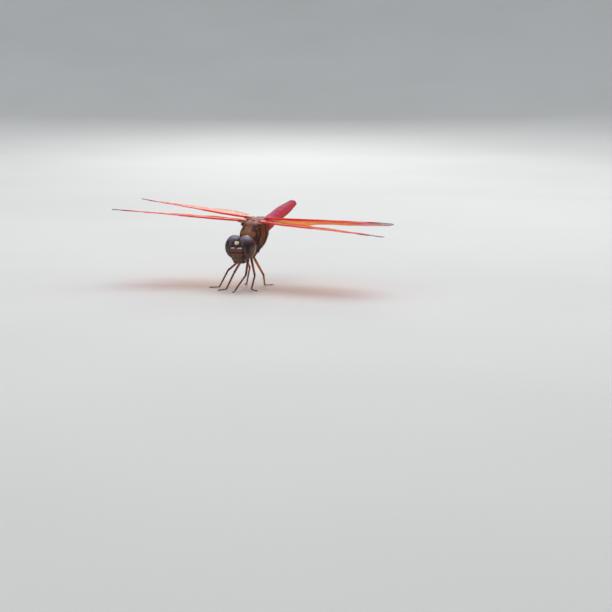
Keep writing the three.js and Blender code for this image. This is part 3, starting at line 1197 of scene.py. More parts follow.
@dataclass
class Eyes:
    """The two compound eyes, which meet on top of the head.

    Attributes:
        centre: The left one's middle.
        radii: Half width, half depth and half height.
        level: How finely the lenses divide the eye.
        lens_height: How far the middle of a lens stands proud.
        seam: Half the width of the groove where the eyes meet, and how softly they flatten toward it.
        spot: Direction from the left eye's middle to its dark spot.
        ghost: Direction to the fainter spot, below the dark one and nearer the midline.
        finish: The lens.
    """

    centre: Point = (1.2, 0.15, 0.03)
    radii: Point = (1.76, 1.95, 2.2)
    level: int = 6
    lens_height: float = 0.008
    seam: tuple[float, float] = (0.035, 0.12)
    spot: Point = (0.535, -0.838, -0.104)
    ghost: Point = (0.12, -0.93, -0.42)
    finish: EyeGlaze = EyeGlaze()

    def depth(self, points: Array) -> Array:
        """How far points are from the nearer eye's middle, where 1 is its surface."""
        return distances(points * np.where(points[:, :1] < 0, (-1, 1, 1), 1), self.centre, self.radii)

    def shape(self, side: Side, ball: tuple[Array, Array, Array]) -> Form:
        """One eye: bulging outward, flattened along the seam, with a lens in every cell.

        Args:
            side: Which eye.
            ball: The directions, faces and lens centres of a ball of cells.

        Returns:
            Its shape.
        """
        ways, faces, lens = ball
        x, y, z = ways.T
        swell = 1.0 + 0.012 * ripple(ways, 1.3, 4) + 0.02 * ease(0.1, 0.9, -y)
        proud = unit(ways / self.radii) * (lens * self.lens_height)[:, None]
        points = ways * self.radii * swell[:, None] + proud + self.centre
        seam, soft = self.seam
        points[:, 0] = seam + soft * np.logaddexp(0.0, (points[:, 0] - seam) / soft)
        spot = ease(0.27, 0.15, distances(ways, self.spot, (1.0, 1.0, 1 / 0.55)))
        ghost = bell(distances(ways, self.ghost, (1.0, 1.0, 1 / 0.7)), 0.17)
        # Painted shade: the eye darkened along its inner front edge, beside the face, where shadow falls.
        inner = ease(1.62, 1.28, points[:, 0]) * ease(0.35, 0.0, z) * ease(-0.3, -0.6, y)
        return Form.of(
            points * (side.value, 1.0, 1.0),
            side.faced(faces),
            lens=lens,
            crown=ease(-0.42, 0.18, z + 0.25 * y + 0.1 * x),
            rim=0.75 * ease(0.62, 1.02, x) * ease(0.35, -0.25, z),
            spot=np.clip(spot + 0.5 * ghost + 0.85 * inner, 0.0, 1.0),
            # Where the painted reflection of the sky lies: the top of the eye, fading toward its back.
            sky=ease(0.15, 0.98, z) * ease(0.9, -0.3, y),
        )

    def build(self, stance: Stance) -> None:
        """Builds both eyes.

        Args:
            stance: Where the animal stands.
        """
        ball, glaze = hex_ball(self.level), self.finish.material()
        for side in Side:
            name = f"eye_{side.label}"
            stance.piece(f"{name}_lenses", self.shape(side, ball), Slot.EYE, glaze, name)


@dataclass(frozen=True)
class Lobe:
    """One rounded lump of a skin, with a twin across the midline where it stands off it.

    Attributes:
        centre: Its middle.
        radii: Half its width, depth and height.
        square: 2 for an ellipsoid, more for a rounded box.
    """

    centre: Point
    radii: Point
    square: float = 2.0

    def twins(self) -> Iterator[Lobe]:
        """The lump itself, and its twin where it has one."""
        yield self
        if self.centre[0]:
            yield Lobe((-self.centre[0], *self.centre[1:]), self.radii, self.square)

    def reach(self, points: Array) -> Array:
        """How far points are outside it, roughly."""
        near = (np.abs((points - self.centre) / self.radii) ** self.square).sum(axis=1) ** (1.0 / self.square)
        return (near - 1.0) * min(self.radii)


def twinned(lobes: Iterable[Lobe]) -> Iterator[Lobe]:
    """Each lobe, followed by its twin where it has one."""
    for lobe in lobes:
        yield from lobe.twins()


def lump_of(lobes: Iterable[Lobe]) -> Form:
    """The closed forms of lobes and their twins.

    Args:
        lobes: The lobes.

    Returns:
        A form that can be wrapped in a skin.
    """
    form = Form()
    for lobe in twinned(lobes):
        form.ball(lobe.centre, lobe.radii, lobe.square)
    return form


class Plate(Enum):
    """The plates of the head's skin. The muzzle fills the space behind the others and never shows."""

    BACK = auto()
    MUZZLE = auto()
    BROW = auto()
    CHEEK = auto()
    VERTEX = auto()
    FRONS = auto()
    CLYPEUS = auto()
    LABRUM = auto()
    LABIUM = auto()
    JAW = auto()


FACE = {
    Plate.BACK: (Lobe((0, 0.95, -0.1), (2.55, 1.22, 1.9)), Lobe((0, 0.1, -0.9), (1.15, 1.15, 1.5))),
    Plate.MUZZLE: (
        Lobe((0, -1.0, -1.0), (1.12, 0.95, 1.0), 3.2),
        Lobe((0, -0.6, -1.95), (1.26, 0.92, 0.85), 2.8),
    ),
    Plate.BROW: (Lobe((0, -1.24, 0.34), (1.14, 0.6, 0.36), 2.6),),
    Plate.CHEEK: (Lobe((1.22, -0.5, -1.35), (0.42, 0.62, 0.72)),),
    Plate.VERTEX: (
        Lobe((0, -1.5, 0.88), (0.46, 0.42, 0.36), 2.5),
        Lobe((0.19, -1.58, 1.06), (0.23, 0.27, 0.22)),
    ),
    Plate.FRONS: (
        Lobe((0, -1.38, -0.37), (1.24, 0.78, 0.54), 3.4),
        Lobe((0.62, -1.42, -0.35), (0.7, 0.78, 0.56), 2.8),
    ),
    Plate.CLYPEUS: (
        Lobe((0, -1.2, -1.12), (1.26, 0.84, 0.31), 3.2),
        Lobe((0, -1.16, -1.5), (1.0, 0.78, 0.26), 3.0),
    ),
    Plate.LABRUM: (Lobe((0, -0.92, -2.04), (1.06, 0.84, 0.52), 2.7),),
    Plate.LABIUM: (
        Lobe((0, -0.1, -2.7), (0.42, 0.88, 0.34)),
        Lobe((0.56, -0.24, -2.48), (0.66, 1.02, 0.5), 2.4),
    ),
    Plate.JAW: (Lobe((1.0, -0.66, -1.9), (0.36, 0.66, 0.56), 2.4),),
}


@dataclass
class Head:
    """The face and the back of the head, as one skin with a groove between its plates.

    Attributes:
        eyes: The eyes that the skin fits round.
        lobes: For each plate, the lumps that it is made of.
        groove: How deep and how wide the lines between plates are.
        voxel: Distance between the skin's corners.
        hairs: How many bristles the face carries.
    """

    eyes: Eyes
    lobes: dict[Plate, tuple[Lobe, ...]] = field(default_factory=FACE.copy)
    groove: tuple[float, float] = (0.035, 0.045)
    voxel: float = 0.04
    hairs: int = 520

    def plates(self, points: Array) -> tuple[dict[Plate, Array], Array]:
        """Which plate each point of the skin belongs to.

        Args:
            points: Places on the skin.

        Returns:
            1 on each plate and 0 elsewhere, and how much farther the next plate is.
        """
        shown = {plate: lobes for plate, lobes in self.lobes.items() if plate is not Plate.MUZZLE}
        groups = ([lobe.reach(points) for lobe in twinned(lobes)] for lobes in shown.values())
        nearest = [np.min(group, axis=0) for group in groups]
        ranked, owner = np.sort(nearest, axis=0), np.argmin(nearest, axis=0)
        return {plate: (owner == row).astype(float) for row, plate in enumerate(shown)}, ranked[1] - ranked[0]

    def skin(self) -> Form:
        """The skin of the face and the back of the head, open where the eyes sit."""
        points, quads = lump_of(sum(self.lobes.values(), ())).wrapped(self.voxel, 3)
        quads = quads[(self.eyes.depth(points) > 0.93)[quads].all(axis=1)]
        used, quads = np.unique(quads, return_inverse=True)
        points, quads = points[used], quads.reshape(-1, 4)
        normals = normals_of(points, quads)
        on, gap = self.plates(points)
        x, y, z = points.T
        seam = bell(gap, self.groove[1]) * ease(1.4, 0.6, y)
        frons, clypeus, labrum = on[Plate.FRONS], on[Plate.CLYPEUS], on[Plate.LABRUM]
        middle = bell(x, 0.09) * frons * ease(-0.95, -0.3, z)
        lips = labrum * bell(x, 0.06) * ease(-2.1, -2.6, z)
        dish = 0.55 * bell(np.hypot(x, z + 0.1), 1.35) * ease(1.2, 2.0, y)
        rough = 0.012 * ripple(points, 0.28, 5) * (frons + clypeus)
        shift = rough - self.groove[0] * seam - 0.06 * middle - 0.03 * lips
        return Form.of(
            points + normals * shift[:, None] - np.outer(dish, (0, 1, 0)),
            quads,
            seam=np.clip(seam * 1.3 * ease(-0.5, -0.9, y) + 0.35 * middle, 0, 1),
            band=on[Plate.BROW] + on[Plate.VERTEX] * ease(0.72, 0.6, z),
            vertex=on[Plate.VERTEX] * ease(0.6, 0.72, z),
            frons=frons,
            # Painted highlight: the frons' top edge, strongest toward its outer corners, where light from
            # above would catch it.
            crest=frons * ease(-0.12, 0.04, z) * ease(0.05, 0.6, np.abs(x)),
            brow=frons * ease(-0.45, -0.8, z),
            clypeus=clypeus * ease(-1.42, -1.3, z),
            lip=labrum + clypeus * ease(-1.3, -1.42, z),
            olive=labrum * bell(x, 0.62) * bell(z + 1.9, 0.4),
            chin=on[Plate.LABIUM] + on[Plate.JAW],
            back=ease(0.4, 1.2, y),
        )

    def finish(self) -> Material:
        """The skin's finish."""
        markings = (
            Marking("back", (0.05, 0.026, 0.02), ragged=0.4),
            Marking("frons", (0.150, 0.028, 0.020), ragged=0.1),
            Marking("brow", (0.055, 0.013, 0.006), ragged=0.2, soft=0.8, cover=0.8),
            # Painted highlight: pale lilac-white along the top edge of the frons.
            Marking("crest", (0.62, 0.47, 0.60), soft=0.7, cover=0.85),
            Marking("clypeus", (0.125, 0.040, 0.012), ragged=0.1),
            Marking("lip", (0.120, 0.043, 0.015), ragged=0.15, soft=0.4),
            Marking("olive", (0.090, 0.058, 0.018), ragged=0.4, soft=0.5, cover=0.85),
            Marking("chin", (0.055, 0.016, 0.011), soft=0.4),
            Marking("vertex", (0.74, 0.62, 0.40), ragged=0.12, scale=5.0),
            Marking("band", (0.004, 0.003, 0.004), ragged=0.15, scale=5.0),
            Marking("seam", (0.018, 0.006, 0.005), ragged=0.25, scale=7.0, soft=0.5),
        )
        face = Cuticle(
            "Face", colour=(0.16, 0.045, 0.022), shade=(0.07, 0.018, 0.012), markings=markings,
            rough=(0.2, 0.4), grain=12.0, relief=0.007, gloss=0.3, shine=0.35, glow=0.05,
        )
        return face.material()

    def bristles(self, skin: Form) -> Form:
        """Fine bristles over the face, closest together on its upper half.

        Args:
            skin: The head's skin.

        Returns:
            The bristles.
        """
        flow = (0.0, -0.3, -0.9)
        coat = Coat(self.hairs, (0.1, 0.26), 0.006, 0.5, (flow, flow), (0.0, 0.0, -0.6), 31)
        return coat.grow(skin, lambda p, n: ease(-0.2, -0.7, p[:, 1]) * (1.0 + ease(-0.4, 0.2, p[:, 2])))

    def eyelets(self) -> Form:
        """The three simple eyes set round the vertex."""
        form = Form()
        for at, radius in (((0, -1.78, 0.5), 0.15), ((0.5, -1.5, 0.76), 0.12), ((-0.5, -1.5, 0.76), 0.12)):
            form.ball(at, (radius, radius * 0.8, radius * 0.9))
        return form

    def feeler(self, side: Side) -> Form:
        """One feeler: two swollen joints and a fine jointed bristle.

        Args:
            side: Which side it is on.

        Returns:
            Its shape.
        """
        joints = [(0.62, -1.62, 0.4), (0.68, -1.88, 0.5), (0.76, -2.06, 0.62)]
        tip = [(1.0, -2.7, 1.1), (1.25, -3.3, 1.45)]
        path, t, form = resampled(rounded(np.array(joints + tip), 0.08), 60), parts(60), Form()
        thick = 0.12 * bell(t - 0.06, 0.07) + 0.075 * bell(t - 0.2, 0.05)
        bristle = lerp(0.036, 0.01, t) * (1.0 + 0.18 * np.sin(t * 95.0) * ease(0.3, 0.4, t))
        form.sweep(path * (side.value, 1, 1), thick + bristle, 10, pale=ease(0.32, 0.26, t))
        return form

    def build(self, stance: Stance) -> None:
        """Builds the skin, bristles, simple eyes and feelers.

        Args:
            stance: Where the animal stands.
        """
        skin = self.skin()
        nodes = ("head_capsule", "vertex", "frons", "clypeus", "labrum", "labium")
        jaws = [f"mandible_{side.label}" for side in Side]
        stance.piece("head_skin", skin, Slot.FACE, self.finish(), *nodes, *jaws)
        down = DownFinish("Face down", (0.05, 0.02, 0.012), (0.42, 0.26, 0.14), (0.02, 0.01, 0.01))
        stance.piece("head_bristles", self.bristles(skin), Slot.FACE, down.material())
        shine = {"rough": (0.1, 0.2), "relief": 0.002, "gloss": 0.6}
        glass = Cuticle("Simple eye", (0.16, 0.07, 0.03), (0.05, 0.02, 0.015), **shine).material()
        stance.piece("simple_eyes", self.eyelets(), Slot.EYE, glass)
        pale = (Marking("pale", (0.035, 0.016, 0.012)),)
        horn = Cuticle("Feeler", (0.02, 0.012, 0.01), (0.008, 0.005, 0.005), pale, relief=0.004).material()
        for side in Side:
            name = f"antenna_{side.label}"
            stance.piece(f"{name}_bristle", self.feeler(side), Slot.FORELEG, horn, name)


# ---- Thorax ----

Streak = tuple[float, float, float]


@dataclass
class Thorax:
    """The wing-bearing trunk with its collar, as one skin, and its coat of fine hair.

    Places are in the trunk's own frame, which the stance tilts.

    Attributes:
        middle: Height of the thorax's middle.
        half_height: Half its height.
        inset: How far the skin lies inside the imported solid, so that the coat makes up the rest.
        collar: The first segment.
        hind_lobe: The raised lobe behind it.
        suture_lean: Degrees that the side sutures lean back as they rise.
        sutures: Where each of them crosses the side at mid height.
        groove: Depth and width of a suture.
        streaks: Where each dark streak crosses the side, its width and how dark it is.
        plates: The small plates on the back between the wings.
        hips: The swellings that carry the legs.
        voxel: Distance between the skin's corners.
        hairs: Number of hairs on each side.
    """

    middle: float = 0.3
    half_height: float = 2.95
    inset: float = 0.08
    collar: Lobe = Lobe((0, 2.95, -0.25), (1.36, 0.9, 1.66))
    hind_lobe: Lobe = Lobe((0.0, 3.5, 1.15), (1.0, 0.34, 0.5))
    suture_lean: float = 31.0
    sutures: tuple[float, ...] = (4.05, 5.85, 7.55)
    groove: tuple[float, float] = (0.075, 0.1)
    streaks: tuple[Streak, ...] = (
        (4.05, 0.4, 1.0),
        (5.85, 0.4, 1.0),
        (7.55, 0.34, 1.0),
        (4.95, 0.15, 0.8),
        (6.7, 0.15, 0.75),
        (3.1, 0.36, 1.0),
    )
    plates: tuple[Lobe, ...] = (
        Lobe((0.5, 5.55, 2.78), (0.85, 1.05, 0.5)),
        Lobe((0.0, 6.85, 3.02), (0.72, 0.42, 0.34)),
        Lobe((0.45, 8.0, 2.86), (0.8, 0.85, 0.46)),
        Lobe((0.0, 8.98, 2.98), (0.62, 0.36, 0.3)),
        Lobe((1.75, 5.9, 2.7), (0.42, 0.75, 0.45)),
        Lobe((1.7, 8.3, 2.62), (0.42, 0.75, 0.45)),
    )
    hips: tuple[Lobe, ...] = (
        Lobe((0.78, 3.0, -1.35), (0.5, 0.62, 0.72)),
        Lobe((0.95, 3.85, -1.75), (0.52, 0.66, 0.72)),
        Lobe((1.05, 4.85, -1.8), (0.55, 0.7, 0.74)),
    )
    voxel: float = 0.065
    hairs: int = 9000

    def trunk(self, ways: Array) -> Array:
        """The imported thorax, a little smaller: narrow at the keel, leaning back as it rises.

        Args:
            ways: Directions on a ball.

        Returns:
            The place on the trunk for each.
        """
        x, y, z = ways.T
        shoulder = 0.45 * ease(-0.1, 0.4, z)
        centre = 6.7 + 2.2 * z - 0.7 * z * z - shoulder
        half_length = 3.5 + z + 1.9 * z * z + shoulder - self.inset
        half_width = 2.6 + np.where(z > 0, 2.4 * z**6, -0.1 * z * z) - self.inset
        narrow = 1.0 - 0.17 * ease(0.0, 0.9, y)
        high = self.middle + z * (self.half_height - self.inset)
        return np.stack([x * half_width * narrow, centre + y * half_length, high], axis=1)

    def suture_gap(self, points: Array, y: float) -> Array:
        """How far points are ahead of or behind a side suture."""
        lean = math.radians(self.suture_lean)
        return (points[:, 1] - y) * math.cos(lean) - (points[:, 2] - 0.1) * math.sin(lean)

    def lump(self) -> Form:
        """The closed forms that the skin is wrapped round."""
        ways, quads = ball_grid(40)
        form = Form.of(self.trunk(ways), quads)
        lobes = lump_of((self.collar, self.hind_lobe, *self.plates, *self.hips))
        form.add(np.concatenate(lobes.corners), *lobes.faces)
        neck = np.array([(0, 1.5, 0.0), (0, 2.1, -0.05), (0, 2.8, -0.1)])
        form.sweep(neck, ((0.75, 0.7), (0.7, 0.66), (0.9, 0.9)), 24)
        return form

    def skin(self) -> Form:
        """The skin, with its sutures, ridges and markings."""
        points, quads = self.lump().wrapped(self.voxel, 3)
        normals = normals_of(points, quads)
        x, y, z = points.T
        away = np.abs(x)
        side = ease(0.5, 1.2, away) * ease(2.95, 2.6, z) * ease(-2.7, -2.2, z)
        wing_bearing = ease(3.3, 3.9, y)
        lines = sum(bell(self.suture_gap(points, at), self.groove[1]) for at in self.sutures)
        lines = lines * side * wing_bearing
        front = ease(-0.15, -0.5, normals[:, 1]) * wing_bearing * ease(-0.4, 0.3, z)
        keel = bell(x, 0.1) * front
        crest = bell(z - 2.72, 0.12) * ease(-0.1, -0.4, normals[:, 1]) * ease(2.3, 1.9, away)
        dimples = 0.03 * ripple(points, 1.5, 8) + 0.012 * ripple(points, 0.45, 9)
        shift = dimples * side + 0.09 * keel + 0.07 * crest - self.groove[0] * lines
        points = points + normals * shift[:, None]
        streak = np.zeros(len(points))
        for at, width, dark in self.streaks:
            wander = 0.2 * ripple(points, 1.8, int(at * 10)) + 0.08 * ripple(points, 0.6, int(at * 7))
            streak = np.maximum(streak, dark * bell(self.suture_gap(points, at) + wander, width))
        streak = streak * ease(0.25, 0.8, away) * ease(-2.2, -1.4, z) * ease(3.0, 2.5, z)
        saddle = ease(0.35, 0.75, away) * ease(1.35, 0.95, away) * front * ease(-0.6, 0.4, z) * (1 - crest)
        low = ease(-0.5, -1.5, z - 0.35 * ease(5.5, 3.5, y))
        back, plate = ease(2.55, 2.85, z), np.zeros(len(points))
        for lobe in twinned(self.plates):
            near = distances(points, lobe.centre, lobe.radii)
            plate = np.maximum(plate, ease(1.1, 0.9, near) * ease(0.1, 0.5, normals[:, 2]))
        return Form.of(
            points,
            quads,
            streak=np.clip(np.maximum.reduce([streak, 0.85 * saddle, 0.95 * low]), 0, 1),
            line=np.clip(lines + bell(crest - 1.0, 0.4) * back, 0, 1),
            under=low,
            back=back * (1.0 - plate),
            plate=plate * back,
            crest=np.clip(crest + 0.6 * keel, 0, 1),
            neck=ease(2.5, 2.1, y),
            # Painted glare: the whole top of the thorax takes the pale coat, standing in for light glancing
            # off its back.
            bloom=back,
        )

    def finish(self) -> Material:
        """The skin's finish."""
        markings = (
            Marking("streak", (0.045, 0.010, 0.013), ragged=0.5, scale=2.2, soft=0.45),
            Marking("under", (0.016, 0.012, 0.022), ragged=0.5, scale=1.5, soft=0.6),
            Marking("line", (0.012, 0.006, 0.006), scale=5.0, soft=0.6),
            Marking("back", (0.12, 0.030, 0.020), scale=2.0, soft=0.5),
            Marking("plate", (0.30, 0.075, 0.040), ragged=0.4, scale=1.6, soft=0.8),
            Marking("crest", (0.05, 0.02, 0.014), scale=4.0, soft=0.5),
            Marking("neck", (0.10, 0.05, 0.03), ragged=0.2),
        )
        # The pale pinkish coat set below is painted glare over the top of the thorax.
        thorax = Cuticle(
            "Thorax", colour=(0.48, 0.165, 0.072), shade=(0.27, 0.076, 0.036), markings=markings,
            rough=(0.4, 0.62), grain=7.0, pitting=0.8, relief=0.02, bloom=(0.78, 0.46, 0.45),
            bloom_cover=0.32, velvet=0.08, glow=0.05,
        )
        return thorax.material()

    def coat(self, skin: Form, side: Side) -> Form:
        """The hair of one side: thick on the front and the flanks, thinner behind, sparse on the back.

        Args:
            skin: The trunk's skin.
            side: Which side.

        Returns:
            The hair.
        """

        def density(points: Array, normals: Array) -> Array:
            """How thickly the hair grows, which is nowhere on the other side.

            Args:
                points: Places on the skin.
                normals: The ways that they face.

            Returns:
                The density at each.
            """
            x, y, z = points.T
            bare = ease(2.75, 2.95, z) * ease(5.2, 5.8, y)
            fading = 1.0 - 0.65 * ease(6.5, 8.5, y)
            return (x * side.value > 0) * (1.0 - 0.92 * bare) * fading * ease(2.3, 2.7, y)

        flow, centre = ((0.0, -0.35, -1.0), (0.0, -0.3, -0.8)), (0.0, 6.6, self.middle)
        coat = Coat(self.hairs, (0.16, 0.38), 0.009, 0.31, flow, centre, 40 + side.value, ("streak",))
        return coat.grow(skin, density)

    def build(self, stance: Stance) -> None:
        """Builds the skin and its coat.

        Args:
            stance: Where the animal stands.
        """
        skin = self.skin()
        coats = {side: self.coat(skin, side).moved(stance.from_trunk) for side in Side}
        nodes = ("prothorax", "mesothorax", "metathorax")
        stance.piece("thorax_skin", skin.moved(stance.from_trunk), Slot.THORAX, self.finish(), *nodes)
        down = DownFinish("Thorax down", (0.32, 0.110, 0.055), (0.76, 0.41, 0.21), (0.036, 0.010, 0.014))
        finish = down.material()
        for side, coat in coats.items():
            stance.piece(f"thorax_coat_{side.label}", coat, Slot.THORAX, finish)


# ---- Abdomen ----

Spike = tuple[float, float, float]


@dataclass
class Abdomen:
    """The tail: ten overlapping rings as one skin, with three spikes at its end.

    Places are in the tail's own frame, which runs along +Y.

    Attributes:
        segments: Length of each ring.
        root: Where the first ring starts, from the head's centre.
        yaw: Degrees that the tail end swings to the right.
        pitch: Degrees that it is raised.
        half_width: Half its width.
        half_height: Half its height.
        spikes: For each spike at the end: how far aside and up it stands, and its length.
        lobes: The small lobes under the second ring.
        rings: Rows of faces along each segment.
        around: Faces round it.
        hairs: Number of short hairs.
    """

    segments: tuple[float, ...] = (1.1, 1.8, 2.8, 2.9, 2.9, 2.8, 2.4, 1.7, 1.0, 0.6)
    root: Point = (0.35, 9.2, 2.9)
    yaw: float = 5.5
    pitch: float = 8.9
    half_width: float = 1.48
    half_height: float = 1.08
    spikes: tuple[Spike, ...] = ((0.3, 0.2, 1.2), (-0.3, 0.2, 1.2), (0.0, -0.24, 0.96))
    lobes: tuple[Lobe, ...] = (
        Lobe((0.0, 1.35, -0.95), (0.42, 0.22, 0.34)),
        Lobe((0.24, 1.75, -1.08), (0.13, 0.2, 0.3)),
        Lobe((0.3, 2.3, -0.98), (0.22, 0.32, 0.22)),
    )
    rings: int = 26
    around: int = 96
    hairs: int = 5200

    @property
    def length(self) -> float:
        """Length of all the rings."""
        return sum(self.segments)

    def in_place(self, points: Array) -> Array:
        """Points of the tail's own frame, seen from the head."""
        return points @ (turn(2, self.yaw) @ turn(0, self.pitch)).T + self.root

    def shape(self, along: Array, number: Array, local: Array, cx: Array, cz: Array) -> Array:
        """The places of the rings' corners.

        Args:
            along: Each row's distance from the root.
            number: The ring that it is on.
            local: How far along that ring it is, from 0 to 1.
            cx: Each corner's direction round a row, to the left.
            cz: The same, upward.

        Returns:
            The corners, row by row.
        """
        size, t = np.array(self.segments)[number], along / self.length
        swelling, taper = 0.3 * bell(t - 0.1, 0.09), 1.0 - 0.4 * ease(0.6, 1.1, t)
        rear = ease(0.0, 1.0, (local * size - size + 0.32) / 0.3)
        step = 1.0 - 0.055 * bell(local * size, 0.1) + 0.02 * rear + 0.012 * np.sin(local * np.pi)
        step = np.where(number == 0, step * lerp(0.86, 1.0, ease(0, 1, local)), step)
        step = step * taper * lerp(0.35, 1.0, ease(self.length + 0.01, self.length - 0.22, along) ** 0.5)
        seams = 0.7 * ((number == 2) | (number == 3)) * bell((local - 0.32) * size, 0.07)
        roof = np.where(cz > 0, cz * (0.88 + 0.12 * cz * cz), cz * 0.85)
        roof = roof + 0.05 * bell(cx, 0.07) * (cz > 0) + 0.10 * bell(cz + 0.62, 0.13) * (cz < 0)
        x = np.outer((self.half_width + 0.3 * swelling) * step, cx * (1.0 + 0.03 * bell(cz + 0.1, 0.1)))
        z = np.outer((self.half_height + swelling) * step, roof)
        z = z + 0.025 * np.outer(seams, ease(-0.05, 0.2, cz))
        return np.stack([x, np.broadcast_to(along[:, None], x.shape), z], axis=-1).reshape(-1, 3)

    def skin(self) -> Form:
        """The rings and their markings."""
        sizes, last = np.array(self.segments), len(self.segments) - 1
        number = np.append(np.repeat(np.arange(last + 1), self.rings), last)
        local = np.append(np.tile(np.linspace(0.0, 1.0, self.rings, endpoint=False), last + 1), 1.0)
        along = (np.cumsum(sizes) - sizes)[number] + local * sizes[number]
        from_front, t = local * sizes[number], along / self.length
        angle = np.arange(self.around) * 2.0 * np.pi / self.around
        cx, cz = np.cos(angle), np.sin(angle)
        aside, above = np.abs(cx), cz > 0
        one, every = np.ones(len(along)), np.ones(self.around)
        joints = np.maximum(bell(from_front, 0.06), 0.55 * bell(from_front - sizes[number], 0.05))
        dashes = (number >= 3) * ease(0.7, 0.86, t) * ease(0.15, 0.35, local) * ease(1.0, 0.85, local)
        waxy = ease(0.02, 0.16, t) * ease(1.02, 0.8, t)
        form = Form.of(
            self.shape(along, number, local, cx, cz),
            tube_quads(len(along), self.around),
            bloom=np.outer(waxy, np.where(above, ease(0.95, 0.35, aside), 0.0)).ravel(),
            edge=np.outer(one, ease(0.62, 0.9, aside) * ease(-0.45, -0.1, cz)).ravel(),
            joint=np.outer(joints, every).ravel(),
            ridge=np.outer(one, bell(cx, 0.05) * above).ravel(),
            dash=np.outer(dashes, bell(aside - 0.22, 0.17) * above).ravel(),
            under=np.outer(one, ease(-0.3, -0.6, cz)).ravel(),
            base=np.outer(ease(0.13, 0.03, t), every).ravel(),
        )
        k = np.arange(self.around)
        cap = np.stack([(k + 1) % self.around - self.around, k - self.around, np.zeros_like(k)], axis=1)
        form.add(np.array([[0.0, self.length + 0.03, 0.0]]), cap)
        return form

    def finish(self) -> Material:
        """The skin's finish."""
        markings = (
            Marking("base", (0.26, 0.060, 0.030), ragged=0.4, soft=0.8),
            Marking("edge", (0.50, 0.022, 0.018), ragged=0.4, scale=2.0, soft=0.6, cover=0.85),
            Marking("under", (0.20, 0.030, 0.028), soft=0.5),
            Marking("dash", (0.07, 0.008, 0.010), ragged=0.6, scale=2.5, soft=0.6, cover=0.9),
            Marking("ridge", (0.16, 0.012, 0.02), ragged=0.4, scale=4.0, soft=0.7, cover=0.7),
            Marking("joint", (0.07, 0.008, 0.012), scale=5.0, soft=0.7, cover=0.85),
        )
        tail = Cuticle(
            "Abdomen", colour=(0.45, 0.008, 0.066), shade=(0.31, 0.005, 0.043), markings=markings,
            rough=(0.48, 0.68), grain=10.0, pitting=0.7, relief=0.014, bloom=(0.50, 0.026, 0.155),
            bloom_cover=0.40, gloss=0.02, shine=0.12, glow=0.06,
        )
        return tail.material()

    def coat(self, skin: Form) -> Form:
        """Short hair lying back along the rings, thickest on the first ones and below.

        Args:
            skin: The rings.

        Returns:
            The hair.
        """

        def density(points: Array, normals: Array) -> Array:
            """How thickly it grows at places with given normals."""
            return 0.25 + 1.6 * ease(3.2, 0.5, points[:, 1]) + 0.5 * ease(0.0, -0.5, normals[:, 2])

        back, middle = (0.0, 1.0, 0.0), (0.0, self.length / 2, 0.0)
        return Coat(self.hairs, (0.1, 0.24), 0.008, 0.22, (back, back), middle, 71).grow(skin, density)

    def spikes_form(self) -> Form:
        """The two upper spikes and the one below them."""
        form, t = Form(), parts(28)
        for x, z, length in self.spikes:
            bend = 0.1 * np.sin(t * np.pi) * (1 if z > 0 else -0.4)
            along = self.length - 0.15 + length * t
            path = np.stack([x * (1 + 0.25 * t), along, z + bend - 0.06 * t], axis=1)
            thick = 0.21 * (1.0 + 0.12 * bell(t - 0.45, 0.2)) * (1.0 - t**2.6) ** 0.6 + 0.012
            form.sweep(path, np.outer(thick, (1.25 if z < 0 else 1.0, 0.85)), 18, joint=bell(t - 1.0, 0.25))
        return form

    def build(self, stance: Stance) -> None:
        """Builds the rings, their hair, the end spikes and the small lobes under the second ring.

        Args:
            stance: Where the animal stands.
        """
        skin = self.skin()
        coat, spikes = self.coat(skin).moved(self.in_place), self.spikes_form().moved(self.in_place)
        shell = self.finish()
        rings = [f"abdomen_{number}" for number in range(1, len(self.segments) + 1)]
        stance.piece("abdomen_skin", skin.moved(self.in_place), Slot.ABDOMEN, shell, *rings)
        down = DownFinish("Tail down", (0.20, 0.02, 0.03), (0.66, 0.22, 0.20), (0.1, 0.01, 0.015)).material()
        stance.piece("abdomen_coat", coat, Slot.ABDOMEN, down)
        stance.piece("tail_spikes", spikes, Slot.ABDOMEN, shell, "cercus_left", "cercus_right", "epiproct")
        horn = Cuticle("Tail lobes", (0.16, 0.03, 0.02), (0.06, 0.012, 0.01), relief=0.008, gloss=0.2)
        lobes = lump_of(self.lobes).moved(self.in_place)
        stance.piece("tail_lobes", lobes, Slot.ABDOMEN, horn.material())


# ---- Wings ----

Wall = tuple[Array, Array, float]
Line = tuple[Array, Array]


@dataclass(frozen=True)
class LongVein:
    """A long vein behind the leading edge, which bends back to the rear edge.

    Attributes:
        start: Where it begins, as a part of the wing's length.
        depth: How far back it begins, as a part of the wing's width, or None to branch from the first.
        end: Where it reaches the rear edge, as a part of the length.
        bend: How late it turns to the rear edge.
        thick: Its radius at its start.
    """

    start: float
    depth: float | None
    end: float
    bend: float
    thick: float = 0.05


@dataclass(frozen=True)
class WingPlan:
    """The outline and the veins that the two wings of a pair share.

    Attributes:
        length: From hinge to tip.
        span: Distances along the wing at which its width is given.
        front: How far it reaches ahead of the line from hinge to tip.
        rear: How far it reaches behind that line.
        nodus: Where the leading edge is notched, as a part of the length.
        inner_rungs: Cross veins behind the leading edge before the notch.
        outer_rungs: Cross veins between the notch and the coloured cell.
        veins: The long veins behind the first three, from front to rear.
        stigma: Where the thick coloured cell starts and ends, as parts of the length.
        cell: Width of a cell near the body and near the tip.
        lobe_droop: How far the inner rear lobe sags.
    """

    length: float
    span: tuple[float, ...]
    front: tuple[float, ...]
    rear: tuple[float, ...]
    nodus: float
    inner_rungs: int
    outer_rungs: int
    veins: tuple[LongVein, ...]
    stigma: tuple[float, float] = (0.825, 0.915)
    cell: tuple[float, float] = (0.68, 0.46)
    lobe_droop: float = 0.0


